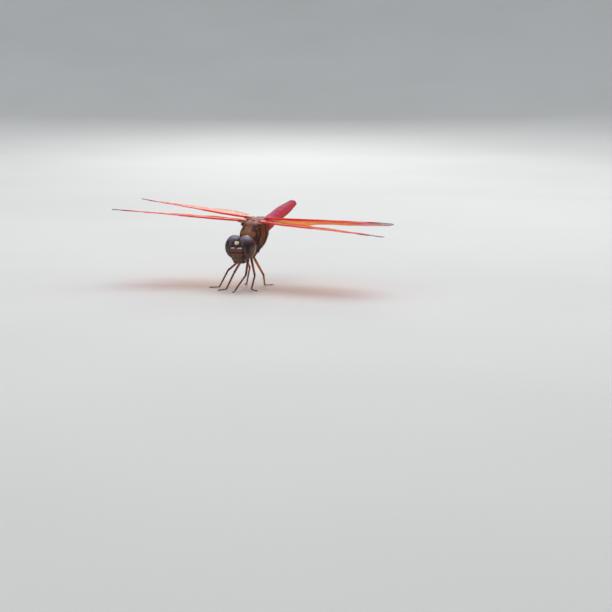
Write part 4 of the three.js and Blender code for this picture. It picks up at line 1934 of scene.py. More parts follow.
FOREWING = WingPlan(
    length=26.0,
    span=(0.0, 1.5, 5.0, 10.0, 16.0, 21.0, 24.2, 25.5, 26.0),
    front=(0.9, 1.35, 1.8, 2.0, 2.2, 2.15, 1.6, 1.0, 0.35),
    rear=(1.2, 2.0, 3.2, 3.9, 4.1, 3.6, 2.5, 1.3, 0.45),
    nodus=0.5,
    inner_rungs=11,
    outer_rungs=8,
    veins=(
        LongVein(0.11, 0.16, 0.992, 4.0, 0.055),
        LongVein(0.40, None, 0.94, 1.6, 0.04),
        LongVein(0.33, None, 0.865, 1.6, 0.038),
        LongVein(0.25, None, 0.77, 1.6, 0.04),
        LongVein(0.115, 0.22, 0.66, 1.7, 0.05),
        LongVein(0.19, 0.48, 0.50, 1.5, 0.042),
        LongVein(0.0, 0.60, 0.37, 2.6, 0.055),
    ),
)
HINDWING = WingPlan(
    length=25.0,
    span=(0.0, 1.5, 4.0, 8.0, 13.0, 18.0, 22.0, 24.2, 25.0),
    front=(0.9, 1.4, 1.75, 1.9, 2.0, 2.05, 1.65, 1.0, 0.35),
    rear=(1.6, 4.9, 7.2, 7.1, 6.3, 5.2, 3.6, 1.9, 0.5),
    nodus=0.42,
    inner_rungs=8,
    outer_rungs=10,
    veins=(
        LongVein(0.11, 0.12, 0.992, 4.0, 0.055),
        LongVein(0.36, None, 0.94, 1.6, 0.04),
        LongVein(0.29, None, 0.865, 1.6, 0.038),
        LongVein(0.22, None, 0.77, 1.6, 0.04),
        LongVein(0.115, 0.17, 0.64, 1.7, 0.05),
        LongVein(0.15, 0.30, 0.47, 1.5, 0.042),
        LongVein(0.0, 0.34, 0.335, 2.2, 0.055),
        LongVein(0.05, 0.42, 0.215, 1.3, 0.04),
        LongVein(0.035, 0.48, 0.115, 1.2, 0.035),
    ),
    lobe_droop=1.5,
)


def meeting_points(points: Array) -> tuple[Array, Array]:
    """Where the cells round points on the flat meet.

    Args:
        points: The middles of the cells.

    Returns:
        The triangles of neighbouring points, and the place where the three cells of each meet.
    """
    _, _, triangles, origins, _, _ = delaunay_2d_cdt([Vector(point) for point in points], [], [], 0, 1e-4)
    which = np.array([origin[0] if origin else -1 for origin in origins])
    corners = np.array([[which[k] for k in triangle] for triangle in triangles if len(triangle) == 3])
    a, b, c = (points[corners[:, k]] for k in range(3))
    ab, ac = b - a, c - a
    twice = 2.0 * (ab[:, 0] * ac[:, 1] - ab[:, 1] * ac[:, 0])
    twice = np.where(np.abs(twice) < 1e-9, 1e-9, twice)
    ab2, ac2 = (ab**2).sum(axis=1), (ac**2).sum(axis=1)
    away = np.stack([ac[:, 1] * ab2 - ab[:, 1] * ac2, ab[:, 0] * ac2 - ac[:, 0] * ab2], axis=1)
    return corners, a + away / twice[:, None]


@dataclass
class Venation:
    """The net of veins of one wing plan, on the flat: distance from the hinge, then forward.

    The strips between the long veins are numbered from the front: strip 0 lies behind the third vein
    of the leading edge, and strip 1 behind the first long vein.

    Attributes:
        plan: The outline and the long veins.
        seed: Which scatter of cells.
        first_gap: From the leading edge to the second vein.
        second_gap: From the leading edge to the third vein.
        rung: Radius of a cross vein before the notch and after it.
        brace: Radius of the cross vein at the notch.
        wall: Radius of a cell's wall, and the shortest and longest that a wall can be.
        sample: Distance between the test points that the cells are spread by.
        rounds: How many times the cells are evened out.
    """

    plan: WingPlan
    seed: int
    first_gap: float = 0.30
    second_gap: float = 0.62
    rung: tuple[float, float] = (0.034, 0.03)
    brace: float = 0.06
    wall: tuple[float, float, float] = (0.021, 0.05, 2.4)
    sample: float = 0.11
    rounds: int = 9

    def __post_init__(self) -> None:
        """Prepares the outline and works out the cells."""
        self.front = curve_through(self.plan.span, self.plan.front)
        self.rear = curve_through(self.plan.span, self.plan.rear)
        self.cross = self.rungs() + self.cell_walls()
        self.lines = [*self.front_lines(), *self.rear_lines(), *self.braces(), *self.margin()]

    def width(self, distance: Array) -> Array:
        """Width of the wing at distances from the hinge."""
        return self.front(distance) + self.rear(distance)

    def gaps(self, distance: Array) -> tuple[Array, Array]:
        """How far behind the leading edge the second and third veins run.

        Args:
            distance: From the hinge.

        Returns:
            The gap to each of the two.
        """
        s = np.asarray(distance, float) / self.plan.length
        meet = ease(self.plan.nodus, self.plan.nodus - 0.05, s)
        narrow = lerp(0.55, 1.0, ease(0.0, 0.12, s)) * lerp(1.0, 0.45, ease(0.9, 1.0, s))
        return self.first_gap * meet * narrow, self.second_gap * narrow

    def vein_part(self, vein: LongVein, distance: Array) -> Array:
        """How far back a long vein lies, as a part of the width.

        Args:
            vein: The vein.
            distance: From the hinge.

        Returns:
            The part at each distance, or not a number where the vein isn't.
        """
        s = np.asarray(distance, float) / self.plan.length
        lead, depth = self.plan.veins[0], vein.depth
        if depth is None:
            branch = ((vein.start - lead.start) / (lead.end - lead.start)) ** lead.bend
            depth = lead.depth + (1.0 - lead.depth) * branch
        t = (s - vein.start) / (vein.end - vein.start)
        part = depth + (1.0 - depth) * np.clip(t, 0.0, 1.0) ** vein.bend
        return np.where((t >= 0.0) & (t <= 1.0), part, np.nan)

    def bound(self, strip: int, distance: Array) -> Array:
        """How far back a strip begins, as a part of the width.

        Args:
            strip: The strip's number, where one past the last stands for the rear edge.
            distance: From the hinge.

        Returns:
            The part at each distance, or not a number where the strip isn't.
        """
        if strip == 0:
            return self.gaps(distance)[1] / self.width(distance)
        if strip > len(self.plan.veins):
            return np.ones_like(distance)
        return self.vein_part(self.plan.veins[strip - 1], distance)

    def forward(self, distance: Array, part: Array) -> Array:
        """The forward place of a part of the width, from 0 at the leading edge to 1 at the rear."""
        return self.front(distance) - part * self.width(distance)

    def rungs(self) -> list[Wall]:
        """The ladder of cross veins along the leading edge: their ends and radii."""
        plan, made = self.plan, []
        notch, end = plan.nodus * plan.length, plan.stigma[0] * plan.length
        inner = np.linspace(1.4, notch - 0.75, plan.inner_rungs)
        outer = np.linspace(notch + 1.0, end - 0.9, plan.outer_rungs)
        for index, at in enumerate(np.concatenate([inner, outer])):
            edge, (first, second) = self.front(at), self.gaps(at)
            lean = 0.05 + 0.05 * math.sin(index * 2.3)
            top, foot = np.array((at, edge)), np.array((at + lean, self.front(at + lean) - second))
            if at < notch:
                halfway = np.array((at + lean / 2, edge - first))
                made += [(top, halfway, self.rung[0]), (halfway, foot, self.rung[0])]
            else:
                made.append((top, foot, self.rung[1]))
        edge = self.front(notch)
        made.append((np.array((notch, edge)), np.array((notch + 0.12, edge - self.second_gap)), self.brace))
        for at in (end - 0.12, plan.stigma[1] * plan.length + 0.12):
            edge, gap = self.front(at), self.gaps(at)[1]
            made.append((np.array((at - 0.1, edge)), np.array((at + 0.1, edge - gap)), 0.035))
        return made

    def crossings(self, distance: float) -> dict[int, float]:
        """The long veins found at a distance from the hinge: how far back each one's strip begins."""
        found = {strip: float(self.bound(strip, distance)) for strip in range(1, len(self.plan.veins) + 1)}
        return {strip: part for strip, part in found.items() if not math.isnan(part)}

    def mirrored(self, place: Array, strip: int) -> Array:
        """A place mirrored in the front bound of a strip.

        Args:
            place: Distance from the hinge and forward place.
            strip: The strip's number.

        Returns:
            The mirrored place.
        """
        step = 0.05
        near = np.array([place[0] - step, place[0], place[0] + step])
        part = self.bound(strip, near)
        heights = self.forward(near, np.where(np.isnan(part), part[1], part))
        slope = (heights[2] - heights[0]) / (2 * step)
        drop = place[1] - heights[1]
        return place + np.array((2 * drop * slope, -2 * drop)) / (1 + slope * slope)

    def scattered(self) -> tuple[Array, Array]:
        """Test points spread over the wing behind its third vein, and the strip that each lies in."""
        along, ahead = np.arange(0.25, self.plan.length, self.sample), np.arange(-9.0, 3.0, self.sample)
        d, y = (grid.ravel() for grid in np.meshgrid(along, ahead, indexing="ij"))
        part = (self.front(d) - y) / self.width(d)
        inside = (part > self.bound(0, d)) & (part < 1.0)
        d, y, part = d[inside], y[inside], part[inside]
        strips = np.zeros(len(d), int)
        for strip in range(1, len(self.plan.veins) + 1):
            at = self.bound(strip, d)
            strips = np.where(~np.isnan(at) & (at <= part), strip, strips)
        return np.stack([d, y], axis=1), strips

    def cell_walls(self) -> list[Wall]:
        """The walls between the small cells of every strip: their ends and radii."""
        source, walls = np.random.default_rng(self.seed), []
        points, strips = self.scattered()
        for strip in range(len(self.plan.veins) + 1):
            here = points[strips == strip]
            if len(here) < 12:
                continue
            size = lerp(self.plan.cell[0], self.plan.cell[1], ease(0.15, 0.75, here[:, 0] / self.plan.length))
            count = max(3, int(round((self.sample**2 / size**2).sum())))
            weight = 1.0 / size**2
            seeds = here[source.choice(len(here), count, replace=False, p=weight / weight.sum())]
            for _ in range(self.rounds):
                owner = ((here[:, None] - seeds[None]) ** 2).sum(axis=2).argmin(axis=1)
                total = np.bincount(owner, weight, count)
                moved = np.stack([np.bincount(owner, weight * here[:, k], count) for k in (0, 1)], axis=1)
                seeds = np.where(total[:, None] > 0, moved / np.maximum(total, 1e-9)[:, None], seeds)
            walls += self.walls_between(seeds, strip)
        return walls

    def ghosts(self, place: Array, strip: int) -> Iterator[Array]:
        """The mirror images of a cell's middle, which keep its walls inside its strip.

        Args:
            place: The middle.
            strip: The strip's number.

        Yields:
            Each image.
        """
        part, found = (self.front(place[0]) - place[1]) / self.width(place[0]), self.crossings(place[0])
        behind = next((number for number, at in found.items() if at > part), len(self.plan.veins) + 1)
        ahead = strip
        if strip and strip not in found:
            ahead = max((number for number in found if number < behind), default=0)
        yield self.mirrored(place, ahead)
        yield self.mirrored(place, behind)
        if place[0] < 1.5:
            yield place * (-1, 1)
        if place[0] > self.plan.length - 1.2:
            yield np.array((2 * self.plan.length - place[0], place[1]))

    def walls_between(self, seeds: Array, strip: int) -> list[Wall]:
        """The walls that part a strip's cells.

        Args:
            seeds: The middles of the cells.
            strip: The strip's number.

        Returns:
            The walls' ends and radii.
        """
        ghosts = [ghost for place in seeds for ghost in self.ghosts(place, strip)]
        triangles, meetings = meeting_points(np.concatenate([seeds, np.array(ghosts)]))
        shared: dict[tuple[int, int], list[int]] = {}
        for number, triangle in enumerate(triangles):
            for i, j in ((0, 1), (1, 2), (2, 0)):
                shared.setdefault(tuple(sorted((triangle[i], triangle[j]))), []).append(number)
        walls, (radius, shortest, longest) = [], self.wall
        for pair, sides in shared.items():
            if max(pair) < len(seeds) and len(sides) == 2:
                start, end = (self.held_in(meetings[side], strip) for side in sides)
                if shortest < distances(start, end) < longest:
                    walls.append((start, end, radius))
        return walls

    def held_in(self, place: Array, strip: int) -> Array:
        """A place brought back between the bounds of a strip, where it has strayed past them.

        Args:
            place: Distance from the hinge and forward place.
            strip: The strip's number.

        Returns:
            The place inside the strip.
        """
        distance = np.clip(place[0], 0.1, self.plan.length - 0.05)
        found = self.crossings(distance)
        ahead = found.get(strip, self.bound(0, distance))
        behind = next((part for number, part in found.items() if number > strip and part > ahead), 1.0)
        part = min(max((self.front(distance) - place[1]) / self.width(distance), ahead), behind)
        return np.array((distance, self.forward(distance, part)))

    def front_lines(self) -> Iterator[Line]:
        """The leading edge and the two veins behind it: the points of each, and its radii."""
        d = np.linspace(-0.4, self.plan.length - 0.02, 220)
        s, edge, (first, second) = np.clip(d / self.plan.length, 0.0, 1.0), self.front(d), self.gaps(d)
        yield np.stack([d, edge], axis=1), lerp(0.12, 0.055, ease(0.0, 0.95, s))
        inner = s < self.plan.nodus
        yield np.stack([d, edge - first], axis=1)[inner], lerp(0.08, 0.045, s / self.plan.nodus)[inner]
        yield np.stack([d, edge - second], axis=1), lerp(0.11, 0.042, ease(0.0, 0.9, s))

    def rear_lines(self) -> Iterator[Line]:
        """The long veins: the points of each, and its radii."""
        length, count = self.plan.length, 120
        for vein in self.plan.veins:
            at = np.linspace(vein.start, vein.end, count) * length
            part = self.vein_part(vein, np.clip(at, vein.start * length + TINY, vein.end * length - TINY))
            yield np.stack([at, self.forward(at, part)], axis=1), lerp(vein.thick, 0.024, parts(count) ** 0.7)

    def braces(self) -> Iterator[Line]:
        """The arch near the root and the triangle behind it: the points of each side, and its radii."""
        above, middle, below = self.plan.veins[4:7]
        foot, x = above.start * self.plan.length, middle.start * self.plan.length
        t, corner = parts(8)[:, None], np.array((x, self.forward(x, middle.depth)))
        top = np.array((foot - 0.03, self.front(foot) - self.gaps(foot)[1]))
        yield lerp(top, np.array((foot + 0.04, self.forward(foot, above.depth))), t), np.full(len(t), 0.05)
        for vein, step in ((above, -0.55), (above, 0.5), (below, -0.1)):
            at = x + step
            end = np.array((at, self.forward(at, self.vein_part(vein, at))))
            yield lerp(end, corner, t if vein is above else 1 - t), np.full(len(t), 0.036)

    def margin(self) -> Iterator[Line]:
        """The rear edge and the tip: the points of each, and its radii."""
        length, count, tip = self.plan.length, 200, 20
        at = length * np.sin(parts(count) * np.pi / 2) ** 0.9
        yield np.stack([at, -self.rear(at)], axis=1), np.full(count, 0.03)
        down = np.linspace(self.front(length), -self.rear(length), tip)
        yield np.stack([np.full(tip, length), down], axis=1), np.full(tip, 0.035)

    def clearance(self, places: Array, most: float = 0.3) -> Array:
        """How far places of the wing are from the nearest vein.

        Args:
            places: Distance from the hinge and forward place, one row each.
            most: The largest distance given.

        Returns:
            The distance of each.
        """
        thinned = [np.append(line[:-1:3], line[-1:], axis=0) for line, _ in self.lines]
        starts = np.concatenate([[wall[0] for wall in self.cross], *(line[:-1] for line in thinned)])
        ends = np.concatenate([[wall[1] for wall in self.cross], *(line[1:] for line in thinned)])
        runs, nearest, block = ends - starts, np.full(len(places), most), 64
        squares = np.maximum((runs**2).sum(axis=1), 1e-9)
        for first in range(0, len(starts), block):
            some = slice(first, first + block)
            away, run = places[:, None] - starts[None, some], runs[some]
            t = np.clip((away * run).sum(axis=2) / squares[some], 0.0, 1.0)
            nearest = np.minimum(nearest, np.linalg.norm(away - t[..., None] * run, axis=2).min(axis=1))
        return nearest


@dataclass
class Wing:
    """One wing: a pleated film, its net of veins, its thick coloured cell and its hinge plates.

    Attributes:
        stance: Where the animal stands.
        pair: The pair that it belongs to.
        side: Which side it is on.
        net: The veins of its plan.
        hinge: Its hinge in the trunk's frame.
        sweep: Degrees that it points forward.
        rise: Degrees that it points up.
        twist: Degrees that its leading edge is raised, at its root and its tip.
        root: Where its packed blade starts, from the hinge.
        pleat: Height of the folds behind the leading edge, and the distance from ridge to furrow.
        camber: How far its middle bulges.
        pillow: How far the film bulges inside a cell.
        film_grid: Columns and rows of corners in the film.
        stigma_grid: The same in the coloured cell.
    """

    stance: Stance
    pair: str
    side: Side
    net: Venation
    hinge: Point
    sweep: float
    rise: float
    twist: tuple[float, float]
    root: float = -1.1
    pleat: tuple[float, float] = (0.13, 0.31)
    camber: float = 0.12
    pillow: float = 0.035
    film_grid: tuple[int, int] = (280, 64)
    stigma_grid: tuple[int, int] = (34, 9)

    def height(self, distance: Array, chord: Array) -> Array:
        """Height of the film over the wing's flat plane.

        Args:
            distance: From the hinge.
            chord: The forward place.

        Returns:
            The height at each.
        """
        plan = self.net.plan
        s = np.clip(distance / plan.length, 0.0, 1.0)
        behind = self.net.front(distance) - chord
        part = np.clip(behind / self.net.width(distance), 0.0, 1.0)
        fold = behind / self.pleat[1] / (1.0 + 0.22 * behind)
        folds = self.pleat[0] * np.cos(np.pi * fold) * np.exp(-behind / 3.2) * lerp(1.0, 0.4, s)
        bulge = self.camber * 4.0 * part * (1.0 - part) * np.sin(np.pi * np.clip(s * 1.1, 0, 1)) ** 0.5
        sway = 0.05 * ripple(np.stack([distance, chord], axis=1), 5.5, 12)
        sag = plan.lobe_droop * (np.minimum(chord, 0.0) / 7.0) ** 2 * np.exp(-((distance / 4.5) ** 2))
        return folds + bulge + sway * ease(0.0, 0.3, s) - sag

    def place(self, flat: Array, lift: Array | float = 0.0) -> Array:
        """Places of the flat plan, seen from the head.

        Args:
            flat: Distance from the hinge and forward place, one row each.
            lift: How far above the film.

        Returns:
            The places.
        """
        side, sweep, rise = self.side.value, math.radians(self.sweep), math.radians(self.rise)
        level_out = np.array((side * math.cos(sweep), -math.sin(sweep), 0.0))
        out = level_out * math.cos(rise) + UP * math.sin(rise)
        level = unit(-side * np.cross(UP, out))
        distance, chord = flat.T
        t = np.clip((distance - self.root) / (self.net.plan.length - self.root), 0.0, 1.0)
        angle = -side * np.radians(lerp(self.twist[0], self.twist[1], t))[:, None]
        chordwise = level * np.cos(angle) + np.cross(out, level) * np.sin(angle)
        high = side * np.cross(chordwise, out) * (self.height(distance, chord) + lift)[:, None]
        hinge = self.stance.from_trunk(self.hinge)
        return hinge + out * distance[:, None] + chordwise * chord[:, None] + high

    def film(self) -> Form:
        """The film, with where it is stained as values."""
        plan, net, (columns, rows) = self.net.plan, self.net, self.film_grid
        spread = np.sin(parts(columns) * np.pi / 2) ** 0.95
        distance = np.repeat(lerp(-0.45, plan.length - 0.01, spread), rows)
        part = np.tile(parts(rows) ** 1.15, columns)
        flat = np.stack([distance, net.forward(distance, part)], axis=1)
        gap = net.clearance(flat)
        reach = np.clip(distance / plan.length, 0.0, 1.0)
        return Form.of(
            self.place(flat, self.pillow * ease(0.0, 0.22, gap)),
            self.side.faced(grid_quads(columns, rows)),
            reach=reach + 0.05 * part - 0.03 * ripple(flat, 2.4, 3),
            front=ease(1.1, 0.3, net.front(distance) - flat[:, 1]),
            lobe=ease(3.5, 1.0, distance) * ease(0.42, 0.7, part) if plan.lobe_droop else 0.0,
            cell=gap,
        )

    def veins(self) -> Form:
        """The net of veins."""
        form, net, length = Form(), self.net, self.net.plan.length
        for number, (line, thick) in enumerate(net.lines):
            reach, leading = line[:, 0] / length, number < 3
            red = (1.0, 0.6, 1.0)[number] * ease(0.93, 0.86, reach) if leading else 0.0
            outer = ease(0.86, 0.93, reach) if leading else ease(0.84, 0.97, reach)
            form.sweep(self.place(line), thick, 9 if leading else 6, front=red, outer=outer)
        starts, ends = (np.array([wall[k] for wall in net.cross]) for k in (0, 1))
        radii, halves = np.array([wall[2] for wall in net.cross]), (starts + ends) / 2
        reach = (starts[:, 0] + ends[:, 0]) / 2 / length
        front = ease(1.1, 0.7, net.front(starts[:, 0]) - starts[:, 1]) * ease(0.93, 0.86, reach) * 0.7
        outer = ease(0.84, 0.97, reach) * (1.0 - front)
        for one, two in ((starts, halves), (halves, ends)):
            form.rods(self.place(one), self.place(two), radii, 5, front=front, outer=outer)
        return form

    def stigma(self) -> Form:
        """The thick coloured cell near the tip, a low cushion between the first and third veins."""
        net, plan, (columns, rows) = self.net, self.net.plan, self.stigma_grid
        u, v = (grid.ravel() for grid in np.meshgrid(parts(columns), parts(rows), indexing="ij"))
        distance = lerp(plan.stigma[0] * plan.length, plan.stigma[1] * plan.length, u) + 0.2 * (v - 0.5)
        flat = np.stack([distance, net.front(distance) - v * net.gaps(distance)[1]], axis=1)
        dome = 0.02 + 0.055 * (np.sin(np.pi * u) * np.sin(np.pi * v)) ** 0.5
        top, under = (self.place(flat, sign * dome) for sign in (1, -1))
        quads, count = grid_quads(columns, rows), columns * rows
        number = np.arange(count).reshape(columns, rows)
        rim = np.concatenate([number[0], number[1:, -1], number[-1, -2::-1], number[-2:0:-1, 0]])
        after = np.roll(rim, -1)
        wall = np.stack([rim, after, after + count, rim + count], axis=1)[:, ::-1]
        edges = bell(v, 0.16) + bell(v - 1, 0.16) + bell(u, 0.06) + bell(u - 1, 0.06)
        return Form.of(
            np.concatenate([top, under]),
            *(self.side.faced(faces) for faces in (quads, quads[:, ::-1] + count, wall)),
            dark=np.tile(np.clip(edges, 0, 1), 2),
        )

    def hinge_plates(self) -> Form:
        """The plates at the root of the wing, as one skin in the trunk's frame."""
        lump, outward = Form(), np.array((self.side.value, 1, 1))
        for shift, radii, square in (
            ((-0.04, -0.98, -0.02), (0.4, 0.22, 0.13), 2.4),
            ((0.34, -0.98, 0.0), (0.36, 0.14, 0.1), 2.0),
            ((-0.12, -0.42, 0.0), (0.44, 0.3, 0.09), 2.6),
            ((0.28, -0.3, -0.01), (0.36, 0.17, 0.08), 2.2),
            ((-0.14, 0.2, 0.0), (0.4, 0.3, 0.09), 2.6),
            ((0.2, 0.55, -0.03), (0.42, 0.2, 0.08), 2.2),
            ((-0.3, -0.4, -0.3), (0.3, 0.9, 0.28), 2.2),
        ):
            lump.ball(self.hinge + outward * shift, radii, square)
        points, quads = lump.wrapped(0.045, 2)
        out, back, up = ((points - self.hinge) * outward).T
        grooves = np.maximum(bell(back + 0.7, 0.1), bell(back + 0.08, 0.08))
        dark = np.maximum(ease(-0.04, -0.16, up), 0.95 * grooves)
        dark = np.maximum(dark, 0.9 * ease(0.12, 0.3, out) * bell(back + 0.75, 0.22))
        shift = normals_of(points, quads) * (0.012 * ripple(points, 0.5, 6) - 0.03 * grooves)[:, None]
        return Form.of(points + shift, quads, dark=dark, red=ease(0.22, 0.42, out) * (1.0 - dark))

    def build(self, finishes: dict[str, Material]) -> None:
        """Builds the film, the veins, the coloured cell and the hinge.

        Args:
            finishes: The finish of each of them.
        """
        name, piece = f"{self.pair}_{self.side.label}", self.stance.piece
        piece(f"{name}_film", self.film(), Slot.WING, finishes["film"], name)
        piece(f"{name}_veins", self.veins(), Slot.WING, finishes["veins"])
        piece(f"{name}_stigma", self.stigma(), Slot.WING, finishes["stigma"])
        plates = self.hinge_plates().moved(self.stance.from_trunk)
        piece(f"{name}_hinge", plates, Slot.VERTEX, finishes["hinge"])


@dataclass
class Wings:
    """The four wings.

    Attributes:
        seeds: Which scatter of cells the front and the rear pair have.
    """

    seeds: tuple[int, int] = (5, 9)

    def wings(self, stance: Stance) -> Iterator[Wing]:
        """Each wing as it is held.

        Args:
            stance: Where the animal stands.

        Yields:
            The wings, front pair first.
        """
        fore, hind = Venation(FOREWING, self.seeds[0]), Venation(HINDWING, self.seeds[1])
        yield Wing(stance, "forewing", Side.LEFT, fore, (2.0, 6.2, 3.2), 10.4, -3.2, (2.0, 8.0))
        yield Wing(stance, "forewing", Side.RIGHT, fore, (-2.0, 6.2, 3.2), 8.8, 3.4, (-1.0, 8.0))
        yield Wing(stance, "hindwing", Side.LEFT, hind, (1.9, 8.8, 2.95), 0.1, -0.3, (9.0, 11.0))
        yield Wing(stance, "hindwing", Side.RIGHT, hind, (-1.9, 8.8, 3.1), -8.5, 5.6, (0.0, 9.0))

    def finishes(self) -> dict[str, Material]:
        """The finishes that the wings share."""
        veins = Cuticle(
            "Wing veins", colour=(0.74, 0.095, 0.030), shade=(0.50, 0.070, 0.018),
            markings=(
                Marking("front", (0.86, 0.024, 0.050), ragged=0.1, soft=0.5),
                Marking("outer", (0.22, 0.110, 0.120), ragged=0.2, soft=0.5),
            ),
            rough=(0.3, 0.45), relief=0.003, gloss=0.3, glow=0.1,
        )
        stigma = Cuticle(
            "Wing mark", colour=(0.33, 0.022, 0.014), shade=(0.2, 0.012, 0.01),
            markings=(Marking("dark", (0.05, 0.006, 0.006), ragged=0.2, scale=6.0, soft=0.6),),
            rough=(0.3, 0.45), grain=14.0, relief=0.006, gloss=0.25, glow=0.15,
        )
        hinge = Cuticle(
            "Wing hinge", colour=(0.55, 0.33, 0.17), shade=(0.40, 0.15, 0.07),
            markings=(
                Marking("red", (0.45, 0.05, 0.02), ragged=0.4, scale=4.0, soft=0.6),
                Marking("dark", (0.022, 0.009, 0.009), ragged=0.5, scale=5.0, soft=0.4),
            ),
            rough=(0.25, 0.45), relief=0.01, gloss=0.3, glow=0.1,
        )
        finishes = {"film": WingFilm(), "veins": veins, "stigma": stigma, "hinge": hinge}
        return {part: finish.material() for part, finish in finishes.items()}

    def build(self, stance: Stance) -> None:
        """Builds all four.

        Args:
            stance: Where the animal stands.
        """
        finishes = self.finishes()
        for wing in self.wings(stance):
            wing.build(finishes)


# ---- Legs ----


@dataclass(frozen=True)
class LegPair:
    """The sizes that a left and a right leg share.

    Attributes:
        name: The pair's name.
        root: Where the leg enters the body, in the trunk's frame, on the left.
        hip: Where its first long part starts.
        femur: Length of that part.
        tibia: Length of the next.
        tarsus: Length of the foot.
        spines: Spines in each row of the tibia.
    """

    name: str
    root: Point
    hip: Point
    femur: float
    tibia: float
    tarsus: float
    spines: int


@dataclass
class Leg:
    """One leg: a jointed, spiny limb with two claws, standing on the floor.

    Attributes:
        stance: Where the animal stands.
        pair: The sizes of its pair.
        side: Which side it is on.
        ankle: Where its ankle stands, from under the head.
        knee: Which way the knee bows.
        toes: Which way the foot points.
        ankle_height: Height of the ankle over the floor.
        foot_radius: Half the thickness of the foot.
        hairs: Short hairs on each long part.
    """

    stance: Stance
    pair: LegPair
    side: Side
    ankle: tuple[float, float]
    knee: Point
    toes: tuple[float, float]
    ankle_height: float = 0.2
    foot_radius: float = 0.13
    hairs: int = 90

    def joints(self) -> Array:
        """Root, hip, knee, ankle and toe, seen from the head."""
        floor, mirror = self.stance.floor, (self.side.value, 1.0, 1.0)
        root, hip = self.stance.from_trunk(np.array([self.pair.root, self.pair.hip]) * mirror)
        ankle = np.array((*self.ankle, self.ankle_height + floor))
        distance = float(distances(ankle, hip))
        line, (femur, tibia) = (ankle - hip) / distance, (self.pair.femur, self.pair.tibia)
        along = (femur**2 - tibia**2 + distance**2) / (2.0 * distance)
        aside = math.sqrt(max(femur**2 - along**2, 0.0))
        bow = np.array(self.knee)
        knee = hip + line * along + unit(bow - line * (bow @ line)) * aside
        toe = ankle + unit(np.array((*self.toes, 0.0))) * self.pair.tarsus
        toe[2] = self.foot_radius + floor
        return np.array([root, hip, knee, ankle, toe])

    def stretches(self, joints: Array) -> Iterator[tuple[Array, Array, Array]]:
        """The lengths of limb between the joints.

        Args:
            joints: Root, hip, knee, ankle and toe.

        Yields:
            For each length: the points of its centre line, its radii and how dark it is.
        """
        root, hip, knee, ankle, toe = joints
        ring = hip + (knee - hip) * 0.1
        ends = ((root, hip, 14), (hip, ring, 9), (ring, knee, 44), (knee, ankle, 40), (ankle, toe, 36))
        coxa, neck, femur, tibia, foot = (parts(count + 1)[:-1] for _, _, count in ends)
        rings = np.maximum(bell(foot - 0.22, 0.02), bell(foot - 0.55, 0.02))
        radii = (
            lerp(0.44, 0.27, coxa) + 0.04 * bell(coxa - 0.45, 0.3),
            0.2 + 0.06 * np.sin(neck * np.pi),
            lerp(0.27, 0.185, femur**0.8) - 0.075 * bell(femur, 0.025) + 0.03 * bell(femur - 0.95, 0.05),
            lerp(0.175, 0.125, tibia) - 0.05 * bell(tibia, 0.02) + 0.035 * bell(tibia - 0.98, 0.04),
            0.105 - 0.035 * rings + 0.02 * bell(foot - 0.95, 0.07),
        )
        for (start, end, count), radius, dark in zip(ends, radii, (0.6, 0.4, 0.0, 0.0, 0.5)):
            yield lerp(start, end, parts(count + 1)[:-1, None]), radius, np.full(count, dark)
        yield toe[None], np.array([0.07]), np.array([0.5])

    def limb(self) -> Form:
        """The limb and its spines."""
        floor, joints = self.stance.floor, self.joints()
        _, hip, knee, ankle, _ = joints
        path, radii, dark = (np.concatenate(blocks) for blocks in zip(*self.stretches(joints)))
        for _ in range(2):
            path[1:-1] = (path[:-2] + 2 * path[1:-1] + path[2:]) / 4
        path[:, 2] = np.maximum(path[:, 2], radii + floor)
        t = np.arange(len(path)) / (len(path) - 1)
        tone = dark * (0.5 if self.pair.name == "hind" else 1.0) + 0.9 * bell(distances(path, knee), 0.28)
        form, rise = Form(), np.array((0.3 * self.side.value, 1.0, 0.35))
        form.sweep(path, radii, 16, rise, dark=np.clip(tone, 0, 1), light=bell(t - 0.3, 0.12), spine=0.0)
        self.add_spines(form, hip, knee, ankle)
        return form.moved(lambda points: np.maximum(points, (-np.inf, -np.inf, floor)))

    def add_spines(self, form: Form, hip: Array, knee: Array, ankle: Array) -> None:
        """Adds two rows of spines down each long part, and short hair between them.

        Args:
            form: The limb.
            hip: Where the first long part starts.
            knee: Where the next starts.
            ankle: Where that ends.
        """
        source, hairs = np.random.default_rng(len(self.pair.name) * 7 + self.side.value), self.hairs
        inward = unit(np.cross(unit(ankle - knee), unit(knee - hip)) + TINY)
        for start, end, count, long, thick in (
            (hip, knee, self.pair.spines - 3, 0.34, 0.21),
            (knee, ankle, self.pair.spines, 0.55, 0.14),
        ):
            heading = unit(end - start)
            belly = np.cross(heading, inward)
            for sign in (1.0, -1.0):
                t = np.linspace(0.14, 0.93, count)[:, None] + 0.012 * sign
                away = unit(belly * 0.55 + inward * sign)
                roots = lerp(start, end, t) + away * thick * 0.8
                ways = unit(away * 0.62 + heading * 0.75) * long * (1.0 - 0.35 * t)
                bows = np.tile(heading * 0.05, (count, 1))
                form.spikes(roots, ways, bows, np.full(count, 0.026), spine=np.ones(count))
            t = source.uniform(0.05, 0.97, (hairs, 1))
            around = unit(np.cross(heading, source.normal(size=(hairs, 3))))
            roots = lerp(start, end, t) + around * thick * 0.85
            ways = unit(around * 0.6 + heading) * source.uniform(0.08, 0.17, (hairs, 1))
            bows = np.tile(heading * 0.02, (hairs, 1))
            form.spikes(roots, ways, bows, np.full(hairs, 0.007), spine=np.full(hairs, 0.7))

